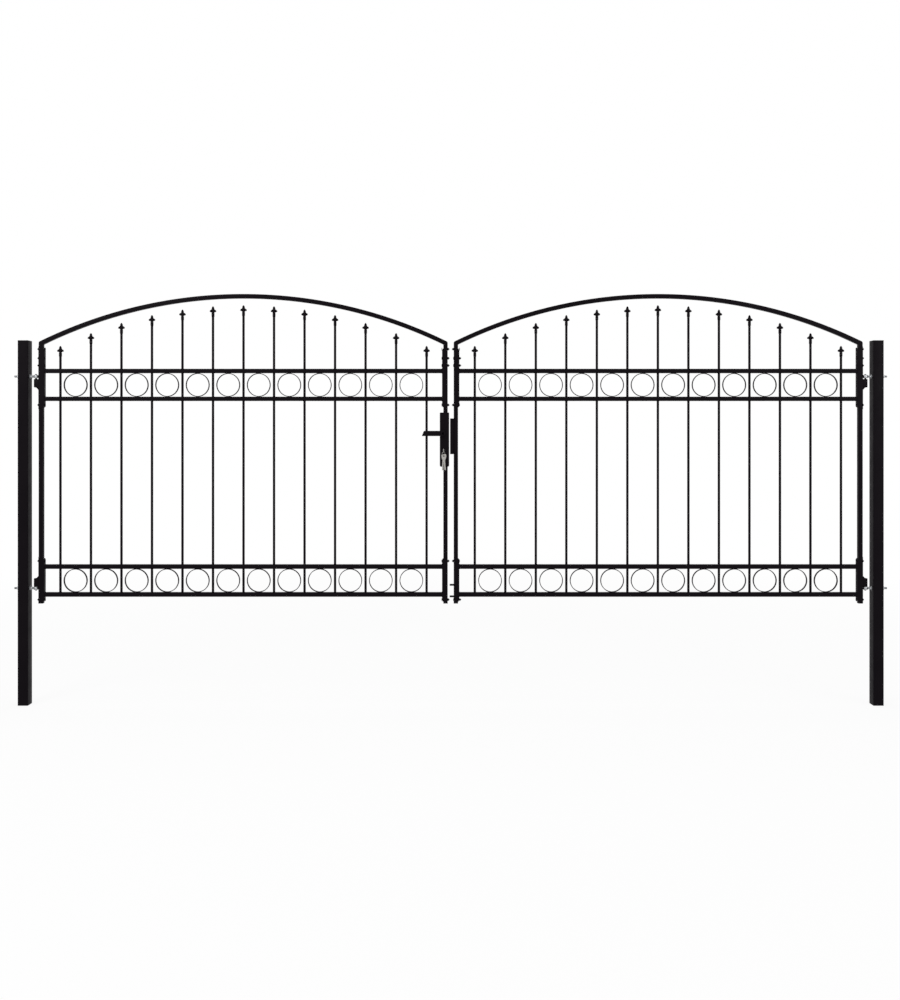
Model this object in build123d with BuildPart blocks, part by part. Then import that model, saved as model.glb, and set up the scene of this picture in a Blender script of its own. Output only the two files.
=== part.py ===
from build123d import *
from math import cos, pi, sqrt
import os

# A double-leaf steel gate between two square posts, front towards -Y, width along X.
# The origin is the middle of the left post's foot. All sizes are in millimetres.

# Whole gate
post_outer_distance = 5000.0
post_side = 60.0
post_wall = 2.0
post_length = 2110.0
cap_plate = 4.0
cap_edge_slope = 1.3
cap_skirt = 20.0
cap_skirt_wall = 2.0
plug_clearance = 0.15

# Leaf frame of square tube. The shoulder is the height at which the arch turns down.
frame_tube = 25.0
frame_wall = 1.5
hinge_gap = 54.0
meeting_gap = 35.0
stile_foot = 587.0
stile_cap_plate = 3.0
stile_plug_depth = 12.5
shoulder_below_post_top = 7.0
arch_rise = 277.0
arch_leg = 119.0
arch_corner = 12.0

# Rails, bars and rings
rail_tube = 25.0
rail_wall = 1.5
top_rail_below_shoulder = 169.0
lower_rails_above_foot = 213.0
rail_pair_spacing = 161.5
bar_diameter = 14.0
bar_sides = 6
bar_count = 13
stile_to_first_bar = 109.75
ring_sides = 12
ring_strip = 4.0
ring_depth = 14.0
ring_clearance = 0.1

# Finials: a pointed leaf, a point to each side and a socket on the bar's end
finial_height = 62.0
finial_leaf_drop = 14.0
finial_leaf_half_width = 7.5
finial_point_drop = 25.0
finial_point_half_width = 19.0
finial_point_height = 8.0
finial_root_drop = 38.0
finial_root_half_width = 8.0
finial_thickness = 10.0
finial_socket_diameter = 17.0
finial_below_arch_middle = 51.0
finial_below_arch_end = 66.0

# Sleeves that carry the rails on the stiles
sleeve_wall = 2.0
sleeve_clearance = 0.2
sleeve_reach = 7.5
sleeve_slant = 22.0
upper_sleeve_below_shoulder = 28.0
upper_sleeve_length = 363.0
lower_sleeve_length = 271.0

# Hinges: eye-bolts through the posts and brackets with pins on the stiles
hinge_axis_to_post = 35.0
eye_diameter = 26.0
eye_sides = 24
eye_height = 18.0
rod_diameter = 12.0
rod_sides = 12
rod_end_beyond_post = 30.0
rod_hole_clearance = 0.5
upper_eye_below_shoulder = 201.0
lower_eye_above_foot = 88.0
pin_diameter = 10.0
pin_clearance = 0.05
pin_beyond_eye = 5.0
block_radius = 12.0
block_length = 50.0
block_shoulder = 15.0
block_end_slope = 3.0
upper_block_gap = 6.0
lower_block_gap = 0.3

# Lock, keys and lever
lock_left = 63.0
lock_right = 9.0
lock_foot = 1379.0
lock_height = 314.0
lock_depth = 40.0
lock_wall = 2.5
lock_foot_corner = 9.0
lock_top_corner = 3.0
spindle_side = 8.0
spindle_clearance = 0.1
spindle_from_middle = 41.0
spindle_below_lock_top = 121.0
lever_reach = 125.0
lever_height = 30.0
lever_thickness = 12.0
lever_stand_off = 34.0
lever_hub_diameter = 20.0
lever_hub_sides = 16
lever_slant = 12.0
journal_diameter = 18.0
journal_clearance = 0.05
lever_face_gap = 0.5
cylinder_diameter = 17.0
cylinder_sides = 16
cylinder_waist = 10.0
cylinder_drop = 33.0
cylinder_stand_out = 3.0
cylinder_above_lock_foot = 94.0
cylinder_clearance = 0.2

# Keys
key_thickness = 2.5
key_sides = 12
key_bow = 24.0
key_shank = 8.0
key_shank_out = 6.0
key_hole = 9.0
ring_outer = 24.0
ring_wire = 2.0
spare_key_count = 2
spare_key_step = 3.0
spare_key_tilt = 3.5
spare_key_rim = 2.0
spare_key_bow = 24.0
spare_key_bow_length = 30.0
spare_key_blade = 10.0
spare_key_length = 92.0

# Strike box and the two guide lugs
strike_reach = 21.0
strike_above_lock_foot = 73.0
strike_height = 207.0
strike_depth = 36.0
strike_wall = 2.5
lug_reach = 23.5
lug_thickness = 7.0
lug_depth = 28.0
lug_hole_diameter = 14.0
lower_lug_above_foot = 40.0
lug_spacing = 67.0

# Places along X, counted from the middle of the gate
gate_middle = post_outer_distance / 2 - post_side / 2
post_axis = gate_middle
post_inner_face = post_axis - post_side / 2
post_outer_face = post_axis + post_side / 2
hinge_axis = post_inner_face - hinge_axis_to_post
hinge_stile_outer = post_inner_face - hinge_gap
hinge_stile_axis = hinge_stile_outer - frame_tube / 2
meeting_stile_outer = meeting_gap / 2
meeting_stile_axis = meeting_stile_outer + frame_tube / 2
leaf_middle = (hinge_stile_axis + meeting_stile_axis) / 2
stile_offset = (hinge_stile_axis - meeting_stile_axis) / 2
rail_half_length = stile_offset - frame_tube / 2 - sleeve_reach
bar_pitch = 2 * (stile_offset - stile_to_first_bar) / (bar_count - 1)
sides = {"left": -1, "right": 1}

# Heights
shoulder_height = post_length - shoulder_below_post_top
gate_height = shoulder_height + arch_rise
leaf_half_width = stile_offset + frame_tube / 2
arch_outer_radius = (leaf_half_width**2 + arch_rise**2) / (2 * arch_rise)
arch_radius = arch_outer_radius - frame_tube / 2
arch_centre_height = gate_height - arch_outer_radius
stile_top = shoulder_height - arch_leg
upper_sleeve_top = shoulder_height - upper_sleeve_below_shoulder
upper_eye_height = shoulder_height - upper_eye_below_shoulder
lower_eye_height = stile_foot + lower_eye_above_foot
top_rail_height = shoulder_height - top_rail_below_shoulder
lower_rails_height = stile_foot + lower_rails_above_foot
rail_heights = {
    "upper": (top_rail_height, top_rail_height - rail_pair_spacing),
    "lower": (lower_rails_height, lower_rails_height - rail_pair_spacing),
}
ring_outer_diameter = rail_pair_spacing - rail_tube - 2 * ring_clearance
ring_inner_radius = ring_outer_diameter / 2 - ring_strip / cos(pi / ring_sides)
lock_top = lock_foot + lock_height
spindle_height = lock_top - spindle_below_lock_top
cylinder_height = lock_foot + cylinder_above_lock_foot
strike_middle = lock_foot + strike_above_lock_foot + strike_height / 2
lower_lug_height = stile_foot + lower_lug_above_foot


def from_middle(side, distance):
    """X of a place that lies `distance` from the gate's middle, on one side."""
    return gate_middle + sides[side] * distance


def bar_places():
    """Distances of the bars from the middle of their leaf."""
    first = stile_to_first_bar - stile_offset
    return [first + bar_pitch * i for i in range(bar_count)]


def arch_height(offset):
    """Height of the arch's centre line at a distance from the leaf's middle."""
    return arch_centre_height + sqrt(arch_radius**2 - offset**2)


def finial_tip(offset):
    """Height of a finial's tip: it drops a little further below the arch towards the ends."""
    end = stile_offset - stile_to_first_bar
    drop = finial_below_arch_end - finial_below_arch_middle
    return arch_height(offset) - finial_below_arch_middle - drop * (offset / end) ** 2


def save(piece, name):
    """Label a finished piece and write it to its own file."""
    piece.part.label = name
    export_step(piece.part, "parts/" + name + ".step")


# Posts


def post(side):
    """Square tube with a plain hole through both walls for each eye-bolt."""
    with BuildPart() as tube:
        with BuildSketch(Plane.XY.offset(cap_plate)):
            with Locations((from_middle(side, post_axis), 0)):
                Rectangle(post_side, post_side)
                Rectangle(post_side - 2 * post_wall, post_side - 2 * post_wall, mode=Mode.SUBTRACT)
        extrude(amount=post_length - 2 * cap_plate)
        with BuildSketch(Plane.YZ.offset(from_middle(side, post_axis))):
            with Locations((0, upper_eye_height), (0, lower_eye_height)):
                RegularPolygon(rod_diameter / 2 + rod_hole_clearance, rod_sides)
        extrude(amount=post_side, both=True, mode=Mode.SUBTRACT)
    return tube


def post_ends(plate_height, skirt_direction):
    """A square plate on the end of each post, with a hollow skirt that plugs into the tube."""
    inner = post_side - 2 * post_wall - 2 * plug_clearance
    skirt_height = plate_height if skirt_direction < 0 else plate_height + cap_plate
    posts_x = [(from_middle(side, post_axis), 0) for side in sides]
    with BuildPart() as ends:
        with BuildSketch(Plane.XY.offset(plate_height)):
            with Locations(posts_x):
                Rectangle(post_side, post_side)
        extrude(amount=cap_plate)
        outer_face = ends.faces().sort_by(Axis.Z)[-1 if skirt_direction < 0 else 0]
        outer_z = outer_face.center().Z
        chamfer(ends.edges().filter_by_position(Axis.Z, outer_z, outer_z), cap_edge_slope)
        with BuildSketch(Plane.XY.offset(skirt_height)):
            with Locations(posts_x):
                Rectangle(inner, inner)
                Rectangle(inner - 2 * cap_skirt_wall, inner - 2 * cap_skirt_wall, mode=Mode.SUBTRACT)
        extrude(amount=skirt_direction * cap_skirt)
    return ends


# Hinges


def eyebolts(side):
    """Two rods through the post, each ending in a forged eye whose bore stands upright."""
    axis_x = from_middle(side, hinge_axis)
    rod_end = from_middle(side, post_outer_face + rod_end_beyond_post)
    with BuildPart() as bolts:
        with BuildSketch(Plane.YZ.offset(axis_x)):
            with Locations((0, upper_eye_height), (0, lower_eye_height)):
                RegularPolygon(rod_diameter / 2, rod_sides)
        extrude(amount=rod_end - axis_x)
        for height in (upper_eye_height, lower_eye_height):
            with BuildSketch(Plane.XY.offset(height - eye_height / 2)):
                with Locations((axis_x, 0)):
                    RegularPolygon(eye_diameter / 2, eye_sides)
            extrude(amount=eye_height)
        with BuildSketch(Plane.XY):
            with Locations((axis_x, 0)):
                Circle(pin_diameter / 2 + pin_clearance)
        extrude(amount=post_length, mode=Mode.SUBTRACT)
    return bolts


def hinge_brackets(side):
    """Two blocks welded to the stile, rounded about the hinge axis, each with its pin in the eye."""
    sign = sides[side]
    axis_x = from_middle(side, hinge_axis)
    stile_x = from_middle(side, hinge_stile_outer)
    tip_x = axis_x + sign * block_radius
    upper_top = upper_eye_height - eye_height / 2 - upper_block_gap
    lower_foot = lower_eye_height + eye_height / 2 + lower_block_gap
    upper_pin_top = upper_eye_height + eye_height / 2 + pin_beyond_eye
    lower_pin_foot = lower_eye_height - eye_height / 2 - pin_beyond_eye
    with BuildPart() as brackets:
        for flat, direction in ((upper_top, -1), (lower_foot, 1)):
            far = flat + direction * block_length
            with BuildSketch(Plane.XZ):
                with BuildLine():
                    Polyline(
                        (stile_x, flat),
                        (tip_x, flat),
                        (tip_x, far - direction * block_end_slope),
                        (axis_x - sign * block_radius / 2, far),
                        (stile_x, far + direction * block_shoulder),
                        close=True,
                    )
                make_face()
            extrude(amount=block_radius, both=True)
        with BuildSketch(Plane.XY.offset(stile_foot)):
            with Locations((axis_x, 0)):
                Circle(block_radius)
            with Locations(((axis_x + stile_x) / 2, 0)):
                Rectangle(abs(axis_x - stile_x), 2 * block_radius)
        extrude(amount=stile_top - stile_foot, mode=Mode.INTERSECT)
        for foot, top in ((upper_top, upper_pin_top), (lower_pin_foot, lower_foot)):
            with BuildSketch(Plane.XY.offset(foot)):
                with Locations((axis_x, 0)):
                    Circle(pin_diameter / 2)
            extrude(amount=top - foot)
    return brackets


# Leaf frame


def arch_band(side, half_width, leg_foot, corner):
    """Back face of the bent top tube: an arc that turns down into two short legs."""
    x = from_middle(side, leaf_middle)
    reach = stile_offset + half_width
    inset = stile_offset - half_width
    outer_radius = arch_radius + half_width
    inner_radius = arch_radius - half_width
    outer_end = arch_centre_height + sqrt(outer_radius**2 - reach**2)
    inner_end = arch_centre_height + sqrt(inner_radius**2 - inset**2)
    outer_apex = (x, arch_centre_height + outer_radius)
    inner_apex = (x, arch_centre_height + inner_radius)
    with BuildSketch(Plane.XZ.offset(-half_width)) as band:
        with BuildLine():
            for s in (-1, 1):
                Polyline(
                    (x + s * inset, inner_end),
                    (x + s * inset, leg_foot),
                    (x + s * reach, leg_foot),
                    (x + s * reach, outer_end),
                )
            ThreePointArc((x - reach, outer_end), outer_apex, (x + reach, outer_end))
            ThreePointArc((x - inset, inner_end), inner_apex, (x + inset, inner_end))
        make_face()
        fillet(band.vertices().filter_by_position(Axis.Y, outer_end - 1, outer_end + 1), corner)
    return band


def arch(side):
    """Hollow square tube of the arch, open at the feet of its legs and bent tight at the shoulders."""
    half = frame_tube / 2
    inner_half = half - frame_wall
    inner_foot = stile_top - frame_tube
    outer = arch_band(side, half, stile_top, arch_corner)
    inner = arch_band(side, inner_half, inner_foot, arch_corner - frame_wall)
    with BuildPart() as tube:
        extrude(outer.sketch, amount=frame_tube)
        extrude(inner.sketch, amount=2 * inner_half, mode=Mode.SUBTRACT)
    return tube


def stile(side, distance, spans):
    """Upright square tube of a leaf, as one or more lengths."""
    with BuildPart() as tube:
        for foot, top in spans:
            with BuildSketch(Plane.XY.offset(foot)):
                with Locations((from_middle(side, distance), 0)):
                    Rectangle(frame_tube, frame_tube)
                    Rectangle(frame_tube - 2 * frame_wall, frame_tube - 2 * frame_wall, mode=Mode.SUBTRACT)
            extrude(amount=top - foot)
    return tube


def stile_caps(side):
    """Small plugs that close the feet of the two stiles."""
    inner = frame_tube - 2 * frame_wall - 2 * plug_clearance
    places = [(from_middle(side, d), 0) for d in (hinge_stile_axis, meeting_stile_axis)]
    with BuildPart() as caps:
        with BuildSketch(Plane.XY.offset(stile_foot)):
            with Locations(places):
                Rectangle(frame_tube, frame_tube)
        extrude(amount=stile_cap_plate)
        with BuildSketch(Plane.XY.offset(stile_foot + stile_cap_plate)):
            with Locations(places):
                Rectangle(inner, inner)
        extrude(amount=stile_plug_depth)
    return caps


def sleeves(side, distance, inward):
    """Upper and lower channels wrapped round a stile, their ends cut back towards the rails."""
    sign = sides[side] * inward
    outer_x = from_middle(side, distance) - sign * frame_tube / 2
    length = frame_tube + sleeve_reach
    web_x = outer_x + sign * length
    inner_depth = frame_tube + 2 * sleeve_clearance
    outer_depth = inner_depth + 2 * sleeve_wall
    upper_sleeve_foot = upper_sleeve_top - upper_sleeve_length
    lower_sleeve_top = stile_foot + lower_sleeve_length
    with BuildPart() as channels:
        for foot, top in ((stile_foot, lower_sleeve_top), (upper_sleeve_foot, upper_sleeve_top)):
            with BuildSketch(Plane.XY.offset(foot)):
                with Locations((outer_x + sign * length / 2, 0)):
                    Rectangle(length, outer_depth)
                with Locations((outer_x + sign * (length - sleeve_wall) / 2, 0)):
                    Rectangle(length - sleeve_wall, inner_depth, mode=Mode.SUBTRACT)
            extrude(amount=top - foot)
            with BuildSketch(Plane.XZ):
                for end, slant in ((foot, sleeve_slant), (top, -sleeve_slant)):
                    with BuildLine():
                        Polyline(
                            (web_x - sign * sleeve_reach, end),
                            (web_x, end + slant),
                            (web_x, end),
                            close=True,
                        )
                    make_face()
            extrude(amount=outer_depth / 2, both=True, mode=Mode.SUBTRACT)
    return channels


# Infill


def rails(side, pair):
    """Two square tubes from sleeve to sleeve."""
    with BuildPart() as tubes:
        with BuildSketch(Plane.YZ.offset(from_middle(side, leaf_middle))):
            with Locations(*[(0, height) for height in rail_heights[pair]]):
                Rectangle(rail_tube, rail_tube)
                Rectangle(rail_tube - 2 * rail_wall, rail_tube - 2 * rail_wall, mode=Mode.SUBTRACT)
        extrude(amount=rail_half_length, both=True)
    return tubes


def bars(side):
    """Bars cut to lengths between the rails, the top ones reaching up to the finials."""
    heights = sorted(rail_heights["lower"] + rail_heights["upper"])
    middle_x = from_middle(side, leaf_middle)
    with BuildPart() as rods:
        for lower, upper in zip(heights[:-1], heights[1:]):
            with BuildSketch(Plane.XY.offset(lower + rail_tube / 2)):
                with Locations(*[(middle_x + place, 0) for place in bar_places()]):
                    RegularPolygon(bar_diameter / 2, bar_sides)
            extrude(amount=upper - lower - rail_tube)
        foot = heights[-1] + rail_tube / 2
        for place in bar_places():
            with BuildSketch(Plane.XY.offset(foot)):
                with Locations((middle_x + place, 0)):
                    RegularPolygon(bar_diameter / 2, bar_sides)
            extrude(amount=finial_tip(place) - finial_height - foot)
    return rods


def finials(side):
    """Cast spearheads: a leaf and two side points, on a socket that slips over the bar's end."""
    outline = (
        (finial_leaf_half_width, finial_leaf_drop),
        (finial_point_half_width, finial_point_drop),
        (finial_point_half_width, finial_point_drop + finial_point_height),
        (finial_root_half_width, finial_root_drop),
    )
    tips = [(from_middle(side, leaf_middle) + place, finial_tip(place)) for place in bar_places()]
    with BuildPart() as heads:
        with BuildSketch(Plane.XZ):
            for x, tip in tips:
                right = [(x + half_width, tip - drop) for half_width, drop in outline]
                left = [(x - half_width, tip - drop) for half_width, drop in reversed(outline)]
                with BuildLine():
                    Polyline((x, tip), *right, *left, close=True)
                make_face()
        extrude(amount=finial_thickness / 2, both=True)
        for x, tip in tips:
            with BuildSketch(Plane.XY.offset(tip - finial_height)):
                with Locations((x, 0)):
                    RegularPolygon(finial_socket_diameter / 2, bar_sides)
            extrude(amount=finial_height - finial_root_drop)
    return heads


def ring_row(side, pair):
    """Flat-strip rings on edge, one between each two bars, held by the rails above and below."""
    places = bar_places()
    middles = [(a + b) / 2 for a, b in zip(places[:-1], places[1:])]
    height = sum(rail_heights[pair]) / 2
    x = from_middle(side, leaf_middle)
    with BuildPart() as rings:
        with BuildSketch(Plane.XZ):
            with Locations(*[(x + place, height) for place in middles]):
                RegularPolygon(ring_outer_diameter / 2, ring_sides)
                RegularPolygon(ring_inner_radius, ring_sides, mode=Mode.SUBTRACT)
        extrude(amount=ring_depth / 2, both=True)
    return rings


# Lock on the left leaf


def cylinder_outline(clearance):
    """Round top and straight neck of a profile cylinder, drawn from the front."""
    x = from_middle("left", spindle_from_middle)
    neck_top = cylinder_height
    neck_foot = cylinder_height + cylinder_diameter / 2 - cylinder_drop
    with Locations((x, cylinder_height)):
        RegularPolygon(cylinder_diameter / 2 + clearance, cylinder_sides)
    with Locations((x, (neck_top + neck_foot - clearance) / 2)):
        Rectangle(cylinder_waist + 2 * clearance, neck_top - neck_foot + clearance)


def lock_case():
    """Sheet housing welded into the stile, with bearing holes for the lever and the cylinder's hole."""
    width = lock_left - lock_right
    middle_x = from_middle("left", (lock_left + lock_right) / 2)
    middle_z = (lock_foot + lock_top) / 2
    height = lock_top - lock_foot
    with BuildPart() as case:
        with BuildSketch(Plane.XZ) as outline:
            with Locations((middle_x, middle_z)):
                Rectangle(width, height)
            fillet(outline.vertices().group_by(Axis.Y)[0], lock_foot_corner)
            fillet(outline.vertices().group_by(Axis.Y)[-1], lock_top_corner)
        extrude(amount=lock_depth / 2, both=True)
        with BuildSketch(Plane.XZ) as inside:
            with Locations((middle_x, middle_z)):
                Rectangle(width - 2 * lock_wall, height - 2 * lock_wall)
            fillet(inside.vertices().group_by(Axis.Y)[0], lock_foot_corner - lock_wall)
        extrude(amount=lock_depth / 2 - lock_wall, both=True, mode=Mode.SUBTRACT)
        with BuildSketch(Plane.XZ):
            with Locations((from_middle("left", spindle_from_middle), spindle_height)):
                RegularPolygon(journal_diameter / 2 + journal_clearance, lever_hub_sides, major_radius=False)
            cylinder_outline(cylinder_clearance)
        extrude(amount=lock_depth, both=True, mode=Mode.SUBTRACT)
    return case


def lock_cylinder():
    """Profile cylinder that stands a little out of both faces of the case."""
    with BuildPart() as barrel:
        with BuildSketch(Plane.XZ):
            cylinder_outline(0)
        extrude(amount=lock_depth / 2 + cylinder_stand_out, both=True)
    return barrel


def lever_handle(front):
    """Bar handle with a slanted end on a round neck, whose journal runs in the case."""
    side = -1 if front else 1
    x = from_middle("left", spindle_from_middle)
    face = lock_depth / 2 + lever_face_gap
    arm_start = face + lever_stand_off
    tip_x = x - lever_reach
    half = lever_height / 2
    hub = lever_hub_diameter / 2
    with BuildPart() as handle:
        with BuildSketch(Plane.XZ.offset(-side * arm_start)):
            with BuildLine():
                Polyline(
                    (x, spindle_height + half),
                    (tip_x + lever_slant, spindle_height + half),
                    (tip_x, spindle_height - half),
                    (x, spindle_height - half),
                    close=True,
                )
            make_face()
            with Locations((x, spindle_height)):
                RegularPolygon(half, lever_hub_sides)
        extrude(amount=-side * lever_thickness)
        with BuildSketch(Plane.XZ.offset(-side * face)):
            with Locations((x, spindle_height)):
                RegularPolygon(hub, lever_hub_sides)
        extrude(amount=-side * lever_stand_off)
        with BuildSketch(Plane.XZ.offset(-side * (lock_depth / 2 - lock_wall))):
            with Locations((x, spindle_height)):
                RegularPolygon(journal_diameter / 2, lever_hub_sides)
        extrude(amount=-side * (lock_wall + lever_face_gap))
        with BuildSketch(Plane.XZ):
            with Locations((x, spindle_height)):
                Rectangle(spindle_side, spindle_side)
        extrude(amount=-side * (face + lever_stand_off / 2), mode=Mode.SUBTRACT)
    return handle


def spindle():
    """Square spindle that joins the two handles through the case."""
    length = lock_depth / 2 + lever_face_gap + lever_stand_off / 2
    with BuildPart() as square:
        with BuildSketch(Plane.XZ):
            with Locations((from_middle("left", spindle_from_middle), spindle_height)):
                Rectangle(spindle_side - 2 * spindle_clearance, spindle_side - 2 * spindle_clearance)
        extrude(amount=length - spindle_clearance, both=True)
    return square


# Keys: one stands in the cylinder with its bow upright, the other hangs from the ring

key_x = from_middle("left", spindle_from_middle)
key_start = lock_depth / 2 + cylinder_stand_out
key_bow_y = -(key_start + key_shank_out + key_bow / 2)
ring_middle_height = cylinder_height - key_bow / 4 - ring_outer / 2 + ring_wire / 2


def key():
    """Key in the cylinder: a short shank and a round bow, thin across X."""
    with BuildPart() as plate:
        with BuildSketch(Plane.YZ.offset(key_x - key_thickness / 2)):
            with Locations((key_bow_y, cylinder_height)):
                RegularPolygon(key_bow / 2, key_sides)
            with Locations((-(key_start + key_shank_out), cylinder_height)):
                Rectangle(2 * key_shank_out, key_shank)
            with Locations((key_bow_y, cylinder_height - key_bow / 4)):
                RegularPolygon(key_hole / 2, key_sides, mode=Mode.SUBTRACT)
        extrude(amount=key_thickness)
    return plate


def key_ring():
    """Flat split ring that hangs in the key's bow, turned half way between the two keys."""
    middle = Plane(origin=(key_x, key_bow_y, ring_middle_height), x_dir=(1, 1, 0), z_dir=(1, -1, 0))
    with BuildPart() as ring:
        with BuildSketch(middle):
            RegularPolygon(ring_outer / 2, key_sides)
            RegularPolygon(ring_outer / 2 - ring_wire, key_sides, mode=Mode.SUBTRACT)
        extrude(amount=ring_wire / 2, both=True)
    return ring


def hanging_key():
    """Spare keys on the ring, fanned out one behind the other, their blades pointing down."""
    half_bow = spare_key_bow / 2
    half_blade = spare_key_blade / 2
    rim_top = key_hole / 2 + spare_key_rim
    bow_foot = rim_top - spare_key_bow_length
    tip = rim_top - spare_key_length
    lowest = ring_outer / 2 - ring_wire / 2
    with BuildPart() as plates:
        for i in range(spare_key_count):
            step = spare_key_step * i
            rise = lowest - sqrt(lowest**2 - 2 * step**2)
            hole_height = ring_middle_height - lowest + rise
            hung = Plane(
                origin=(key_x + step, key_bow_y + step, hole_height), x_dir=(1, 0, 0), z_dir=(0, -1, 0)
            )
            with BuildSketch(hung.rotated((0, 0, spare_key_tilt * (2 * i - 1)))):
                with BuildLine():
                    Polyline(
                        (-half_blade, rim_top),
                        (half_blade, rim_top),
                        (half_bow, rim_top - spare_key_rim),
                        (half_bow, bow_foot + half_blade),
                        (half_blade, bow_foot - half_blade),
                        (half_blade, tip + half_blade),
                        (0, tip),
                        (-half_blade, tip + half_blade),
                        (-half_blade, bow_foot - half_blade),
                        (-half_bow, bow_foot + half_blade),
                        (-half_bow, rim_top - spare_key_rim),
                        close=True,
                    )
                make_face()
                RegularPolygon(key_hole / 2, key_sides, mode=Mode.SUBTRACT)
            extrude(amount=key_thickness / 2, both=True)
    return plates


# Strike box and lugs on the right leaf


def strike_box():
    """Box on the meeting stile that faces the lock across the gap."""
    start = from_middle("right", meeting_stile_outer)
    with BuildPart() as box:
        with BuildSketch(Plane.YZ.offset(start)):
            with Locations((0, strike_middle)):
                Rectangle(strike_depth, strike_height)
        extrude(amount=-strike_reach)
        with BuildSketch(Plane.YZ.offset(start)):
            with Locations((0, strike_middle)):
                Rectangle(strike_depth - 2 * strike_wall, strike_height - 2 * strike_wall)
        extrude(amount=-(strike_reach - strike_wall), mode=Mode.SUBTRACT)
    return box


def guide_lugs():
    """Two plates at the foot of the meeting stile, bored in line for a drop rod."""
    middle_x = from_middle("right", meeting_stile_outer) - lug_reach / 2
    with BuildPart() as lugs:
        for height in (lower_lug_height, lower_lug_height + lug_spacing):
            with BuildSketch(Plane.XY.offset(height - lug_thickness / 2)):
                with Locations((middle_x, 0)):
                    Rectangle(lug_reach, lug_depth)
                    Circle(lug_hole_diameter / 2, mode=Mode.SUBTRACT)
            extrude(amount=lug_thickness)
    return lugs


os.makedirs("parts", exist_ok=True)

save(post_ends(post_length - cap_plate, -1), "post_caps")
save(post_ends(0, 1), "foot_plugs")
whole_stile = [(stile_foot + stile_cap_plate, stile_top)]
split_stile = [(stile_foot + stile_cap_plate, lock_foot), (lock_top, stile_top)]
for side in sides:
    save(post(side), side + "_post")
    save(eyebolts(side), side + "_eyebolts")
    save(hinge_brackets(side), side + "_hinge_brackets")
    save(arch(side), side + "_arch")
    save(stile(side, hinge_stile_axis, whole_stile), side + "_hinge_stile")
    meeting_spans = split_stile if side == "left" else whole_stile
    save(stile(side, meeting_stile_axis, meeting_spans), side + "_meeting_stile")
    save(stile_caps(side), side + "_stile_caps")
    save(sleeves(side, hinge_stile_axis, -1), side + "_hinge_sleeves")
    save(sleeves(side, meeting_stile_axis, 1), side + "_meeting_sleeves")
    save(bars(side), side + "_bars")
    save(finials(side), side + "_finials")
    for pair in rail_heights:
        save(rails(side, pair), side + "_" + pair + "_rails")
        save(ring_row(side, pair), side + "_" + pair + "_rings")

save(lock_case(), "lock_case")
save(lock_cylinder(), "lock_cylinder")
save(lever_handle(True), "front_lever")
save(lever_handle(False), "back_lever")
save(spindle(), "lever_spindle")
save(key(), "lock_key")
save(key_ring(), "key_ring")
save(hanging_key(), "hanging_key")
save(strike_box(), "strike_box")
save(guide_lugs(), "guide_lugs")
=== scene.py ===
# %% [markdown]
# A double fence gate in black powder-coated steel, dressed around its packed construction model.
# The lesson goes from the frame and the camera to the finishes, then piece by piece from the posts
# to the keys, and ends with the stage and the lamps. Every length is in metres, +Z is up, the gate
# looks towards -Y and the origin is the middle of the left post's foot.

# %% Load the frame
import math

import bmesh
import bpy
from mathutils import Matrix, Vector, noise


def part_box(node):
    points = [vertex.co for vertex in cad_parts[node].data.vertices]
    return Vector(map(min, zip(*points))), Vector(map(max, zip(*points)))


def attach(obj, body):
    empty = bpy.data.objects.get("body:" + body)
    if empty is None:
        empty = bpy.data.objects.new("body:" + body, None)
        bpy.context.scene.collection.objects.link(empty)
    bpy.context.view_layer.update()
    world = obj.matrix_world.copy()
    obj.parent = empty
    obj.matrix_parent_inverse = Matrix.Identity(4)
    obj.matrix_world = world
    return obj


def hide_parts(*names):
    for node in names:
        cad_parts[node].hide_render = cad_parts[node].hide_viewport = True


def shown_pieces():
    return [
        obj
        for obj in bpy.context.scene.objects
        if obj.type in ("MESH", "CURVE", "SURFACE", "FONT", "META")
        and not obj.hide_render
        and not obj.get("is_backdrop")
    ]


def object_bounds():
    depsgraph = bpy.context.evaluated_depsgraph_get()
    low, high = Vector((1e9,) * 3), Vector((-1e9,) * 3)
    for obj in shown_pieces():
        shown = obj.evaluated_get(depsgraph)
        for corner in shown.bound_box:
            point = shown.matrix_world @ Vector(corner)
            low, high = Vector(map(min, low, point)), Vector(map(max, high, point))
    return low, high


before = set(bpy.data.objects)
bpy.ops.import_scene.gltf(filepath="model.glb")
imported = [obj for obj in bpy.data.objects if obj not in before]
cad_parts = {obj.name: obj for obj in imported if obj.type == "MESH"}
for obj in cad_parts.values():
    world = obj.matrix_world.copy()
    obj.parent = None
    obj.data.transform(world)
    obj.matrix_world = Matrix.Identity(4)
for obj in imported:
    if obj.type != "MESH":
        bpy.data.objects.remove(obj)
cad_low, cad_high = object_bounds()
print("frame size", [round(v, 3) for v in cad_high - cad_low])

# %% [markdown]
# Both leaves are the same design, mirrored about the middle of the gate. A side is -1 or +1, and
# it says on which side of the middle a leaf hangs, so one formula places a piece on either leaf.
# Most places are read from the boxes of the construction nodes, so they follow the frame. Sizes that
# no box gives, such as a wall, a bend or the height of a bolt, are named where they are first used.

# %% Sides and the middle of the gate
mm = 0.001
sides = {"left": -1, "right": 1}
gate_middle = (cad_low.x + cad_high.x) / 2
print("gate middle at X", round(gate_middle, 4))


# %% [markdown]
# The photograph is a product shot taken square-on from about 5.8 m, with the eye 1.6 m above the
# feet of the posts. A level camera keeps the posts parallel, and a lens shift, instead of a tilt,
# puts the horizon above the middle of the frame as it is there. The outer edges of the posts set
# the focal length. The frame is taller than it is wide, so the sensor's size lies along its height.
# The photograph's lens bends straight lines a little, which a plain camera can't do, so each edge is
# taken a pixel further out, where the whole gate fits best.

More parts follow.
